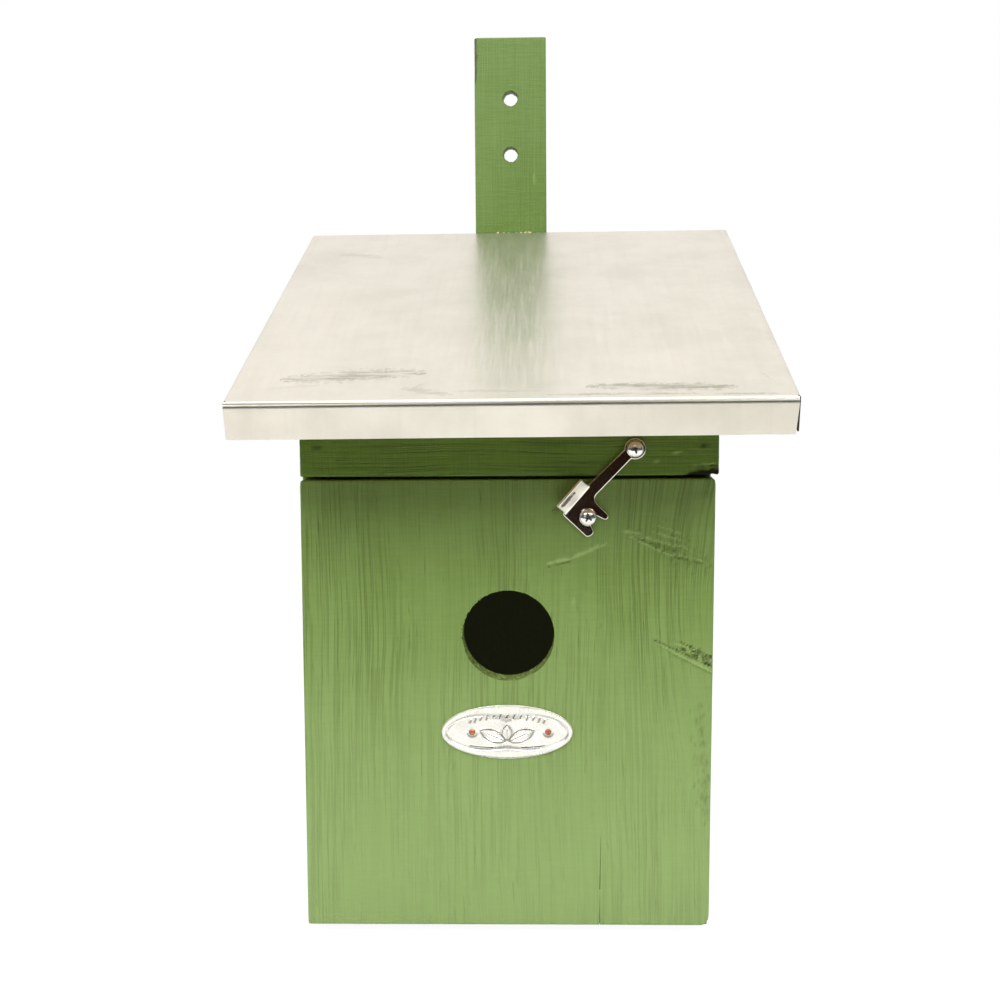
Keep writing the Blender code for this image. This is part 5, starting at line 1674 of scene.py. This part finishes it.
class NESTBOX_OT_small_metal(bpy.types.Operator):
    """Finish the nails, hinge eyes and hinge pins"""

    bl_idname = "nest_box.small_metal"
    bl_label = "Nails and Hinge"

    def execute(self, context):
        metals = context.scene.nest_box_metals
        boards = context.scene.nest_box_boards
        nail = self.worn("wire nail", tuple(metals.steel), (0.20, 0.11, 0.06), 0.42)
        hinge = self.worn("hinge wire", (0.62, 0.60, 0.56), (0.33, 0.24, 0.15), 0.30)
        hidden = self.painted_over(boards)
        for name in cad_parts:
            if name.startswith("rail_nail"):
                coat(name, hidden)
            elif "_nail_" in name:
                coat(name, nail)
            elif name.startswith("hinge_"):
                coat(name, hinge)
        return {"FINISHED"}

    def worn(self, name, metal, rust, rough):
        made, graph, shader, _, wear = worn_metal(name, 700.0, (400.0, 400.0, 400.0))
        spots = graph.span(wear["Clouds"], 0.55, 0.95)
        graph.put(shader.inputs["Base Color"], graph.mix(spots, metal, rust))
        graph.put(shader.inputs["Metallic"], graph.math("MULTIPLY_ADD", spots, -0.6, 1.0))
        graph.put(shader.inputs["Roughness"], graph.math("MULTIPLY_ADD", spots, 0.35, rough))
        graph.put(shader.inputs["Normal"], graph.bump(wear["Clouds"], 0.03 * MM))
        return made

    def painted_over(self, boards):
        """Paint over a sunk nail head, worn to rust in the middle."""
        made, graph, shader, place, wear = worn_metal("painted nail head", 900.0, (400.0, 400.0, 400.0))
        tone = graph.mix(wear["Clouds"], darker(boards.paint, 0.9), darker(boards.paint, 0.7))
        for side in SIDES:
            low, high = node_box("rail_nail_" + side)
            middle = (low + high) / 2
            streak = graph.group(
                "Streak",
                vector=place,
                start=(middle[0] - 0.2 * MM, low[1], middle[2]),
                end=(middle[0] + 0.2 * MM, low[1], middle[2] + 0.2 * MM),
                width=1.2 * MM,
                ragged=0.6,
            )
            rusty = graph.math("MULTIPLY", streak.outputs["Mask"], 0.8)
            tone = graph.mix(rusty, tone, (0.05, 0.03, 0.01))
        graph.put(shader.inputs["Base Color"], tone)
        graph.put(shader.inputs["Roughness"], graph.math("MULTIPLY_ADD", wear["Clouds"], 0.2, 0.45))
        graph.put(shader.inputs["Normal"], graph.bump(wear["Clouds"], 0.1 * MM))
        return made


class NESTBOX_OT_studio(bpy.types.Operator):
    """Set up the camera, pale floor, white backdrop and soft lights"""

    bl_idname = "nest_box.studio"
    bl_label = "Studio"

    def execute(self, context):
        studio = context.scene.nest_box_studio
        context.scene.view_settings.view_transform = "Standard"
        context.scene.view_settings.look = "None"
        self.camera(context, studio)
        self.floor(studio)
        self.world(context, studio)
        self.softbox("overhead softbox", (0.0, 0.15, 1.2), (0.0, 0.0, 0.1), 0.8, studio.top_light)
        for side in (-1, 1):
            place = (side * 0.42, -0.85, 0.84)
            self.softbox("front softbox", place, (0.0, -0.05, 0.1), 0.5, studio.key)
        return {"FINISHED"}

    def camera(self, context, studio):
        data = bpy.data.cameras.new("camera")
        data.lens = studio.lens
        data.sensor_width = 36.0
        data.clip_start = 0.01
        camera = linked("camera", data)
        camera.rotation_mode = "XYZ"
        turn = (
            Matrix.Rotation(studio.yaw, 4, "Z")
            @ Matrix.Rotation(math.pi / 2 - studio.tilt, 4, "X")
            @ Matrix.Rotation(-studio.roll, 4, "Z")
        )
        camera.matrix_world = (
            Matrix.Translation((studio.side, -studio.distance, studio.height)) @ turn
        )
        context.scene.camera = camera

    def floor(self, studio):
        build = bmesh.new()
        bmesh.ops.create_circle(
            build,
            cap_ends=True,
            segments=96,
            radius=studio.floor_radius,
            matrix=Matrix.Translation((0.0, 0.35 * studio.floor_radius, 0.0)),
        )
        obj = built("floor", build)
        made, graph, shader = new_material("pale floor")
        place, _ = place_vector(graph)
        soft = graph.span(graph.noise(place, scale=6.0, detail=2.0), 0.3, 0.7)
        graph.put(shader.inputs["Base Color"], graph.mix(soft, (0.74, 0.74, 0.73), (0.78, 0.78, 0.77)))
        shader.inputs["Roughness"].default_value = 0.7
        lit = graph.add("ShaderNodeEmission")
        lit.inputs["Strength"].default_value = 1.12
        seen = graph.add("ShaderNodeMixShader")
        path = graph.add("ShaderNodeLightPath").outputs["Is Camera Ray"]
        graph.put(seen.inputs[0], graph.math("MULTIPLY", path, 0.85))
        graph.put(seen.inputs[1], shader.outputs[0])
        graph.put(seen.inputs[2], lit.outputs[0])
        output = next(n for n in made.node_tree.nodes if n.type == "OUTPUT_MATERIAL")
        graph.put(output.inputs["Surface"], seen.outputs[0])
        obj.data.materials.append(made)

    def world(self, context, studio):
        world = bpy.data.worlds.new("studio")
        world.use_nodes = True
        world.node_tree.nodes.clear()
        graph = Graph(world.node_tree)
        output = graph.add("ShaderNodeOutputWorld")
        towards = graph.add("ShaderNodeTexCoord").outputs["Generated"]
        towards = graph.vector_math("NORMALIZE", towards)
        back = graph.vector_math("DOT_PRODUCT", towards, (0.0, 0.92, 0.39))
        level = graph.span(back, -0.35, 0.35, studio.room, studio.backdrop)
        dark_way = Vector((0.05, -1.0, -0.135)).normalized()
        facing = graph.vector_math("DOT_PRODUCT", towards, tuple(dark_way))
        dark = graph.span(facing, math.cos(math.radians(17)), math.cos(math.radians(10)))
        light = graph.add("ShaderNodeBackground")
        graph.put(light.inputs["Color"], graph.mix(dark, (1.0, 0.985, 0.955), (0.16, 0.09, 0.055)))
        graph.put(light.inputs["Strength"], level)
        seen = graph.add("ShaderNodeBackground")
        seen.inputs["Color"].default_value = (1.0, 1.0, 1.0, 1.0)
        seen.inputs["Strength"].default_value = 1.0
        choose = graph.add("ShaderNodeMixShader")
        graph.put(choose.inputs[0], graph.add("ShaderNodeLightPath").outputs["Is Camera Ray"])
        graph.put(choose.inputs[1], light.outputs[0])
        graph.put(choose.inputs[2], seen.outputs[0])
        graph.put(output.inputs["Surface"], choose.outputs[0])
        context.scene.world = world

    def softbox(self, name, place, aim, size, power):
        data = bpy.data.lights.new(name, "AREA")
        data.shape = "SQUARE"
        data.size = size
        data.energy = power
        obj = linked(name, data)
        way = Vector(aim) - Vector(place)
        obj.matrix_world = Matrix.Translation(place) @ way.to_track_quat("-Z", "Y").to_matrix().to_4x4()


class NESTBOX_PT_sidebar(bpy.types.Panel):
    """Lists the nest box's pieces and its sizes and colours"""

    bl_idname = "NESTBOX_PT_sidebar"
    bl_label = "Nest Box"
    bl_space_type = "VIEW_3D"
    bl_region_type = "UI"
    bl_category = "Nest Box"

    def draw(self, context):
        for operator in OPERATORS:
            self.layout.operator(operator.bl_idname)
        for group in SETTINGS:
            settings = getattr(context.scene, group)
            box = self.layout.box()
            for name in settings.bl_rna.properties.keys():
                if name not in ("rna_type", "name"):
                    box.prop(settings, name)


SETTINGS = {
    "nest_box_boards": BoardSettings,
    "nest_box_roof": RoofSettings,
    "nest_box_metals": MetalSettings,
    "nest_box_studio": StudioSettings,
}
OPERATORS = (
    NESTBOX_OT_effects,
    NESTBOX_OT_front_panel,
    NESTBOX_OT_front_rail,
    NESTBOX_OT_batten,
    NESTBOX_OT_boards,
    NESTBOX_OT_roof,
    NESTBOX_OT_latch,
    NESTBOX_OT_screws,
    NESTBOX_OT_plate,
    NESTBOX_OT_small_metal,
    NESTBOX_OT_studio,
)


def register():
    for made in (*SETTINGS.values(), *OPERATORS, NESTBOX_PT_sidebar):
        bpy.utils.register_class(made)
    for name, group in SETTINGS.items():
        setattr(bpy.types.Scene, name, PointerProperty(type=group))


def unregister():
    for name in SETTINGS:
        delattr(bpy.types.Scene, name)
    for made in reversed((*SETTINGS.values(), *OPERATORS, NESTBOX_PT_sidebar)):
        bpy.utils.unregister_class(made)


def main():
    register()
    for operator in OPERATORS:
        group, name = operator.bl_idname.split(".")
        getattr(getattr(bpy.ops, group), name)()


if __name__ == "__main__":
    main()
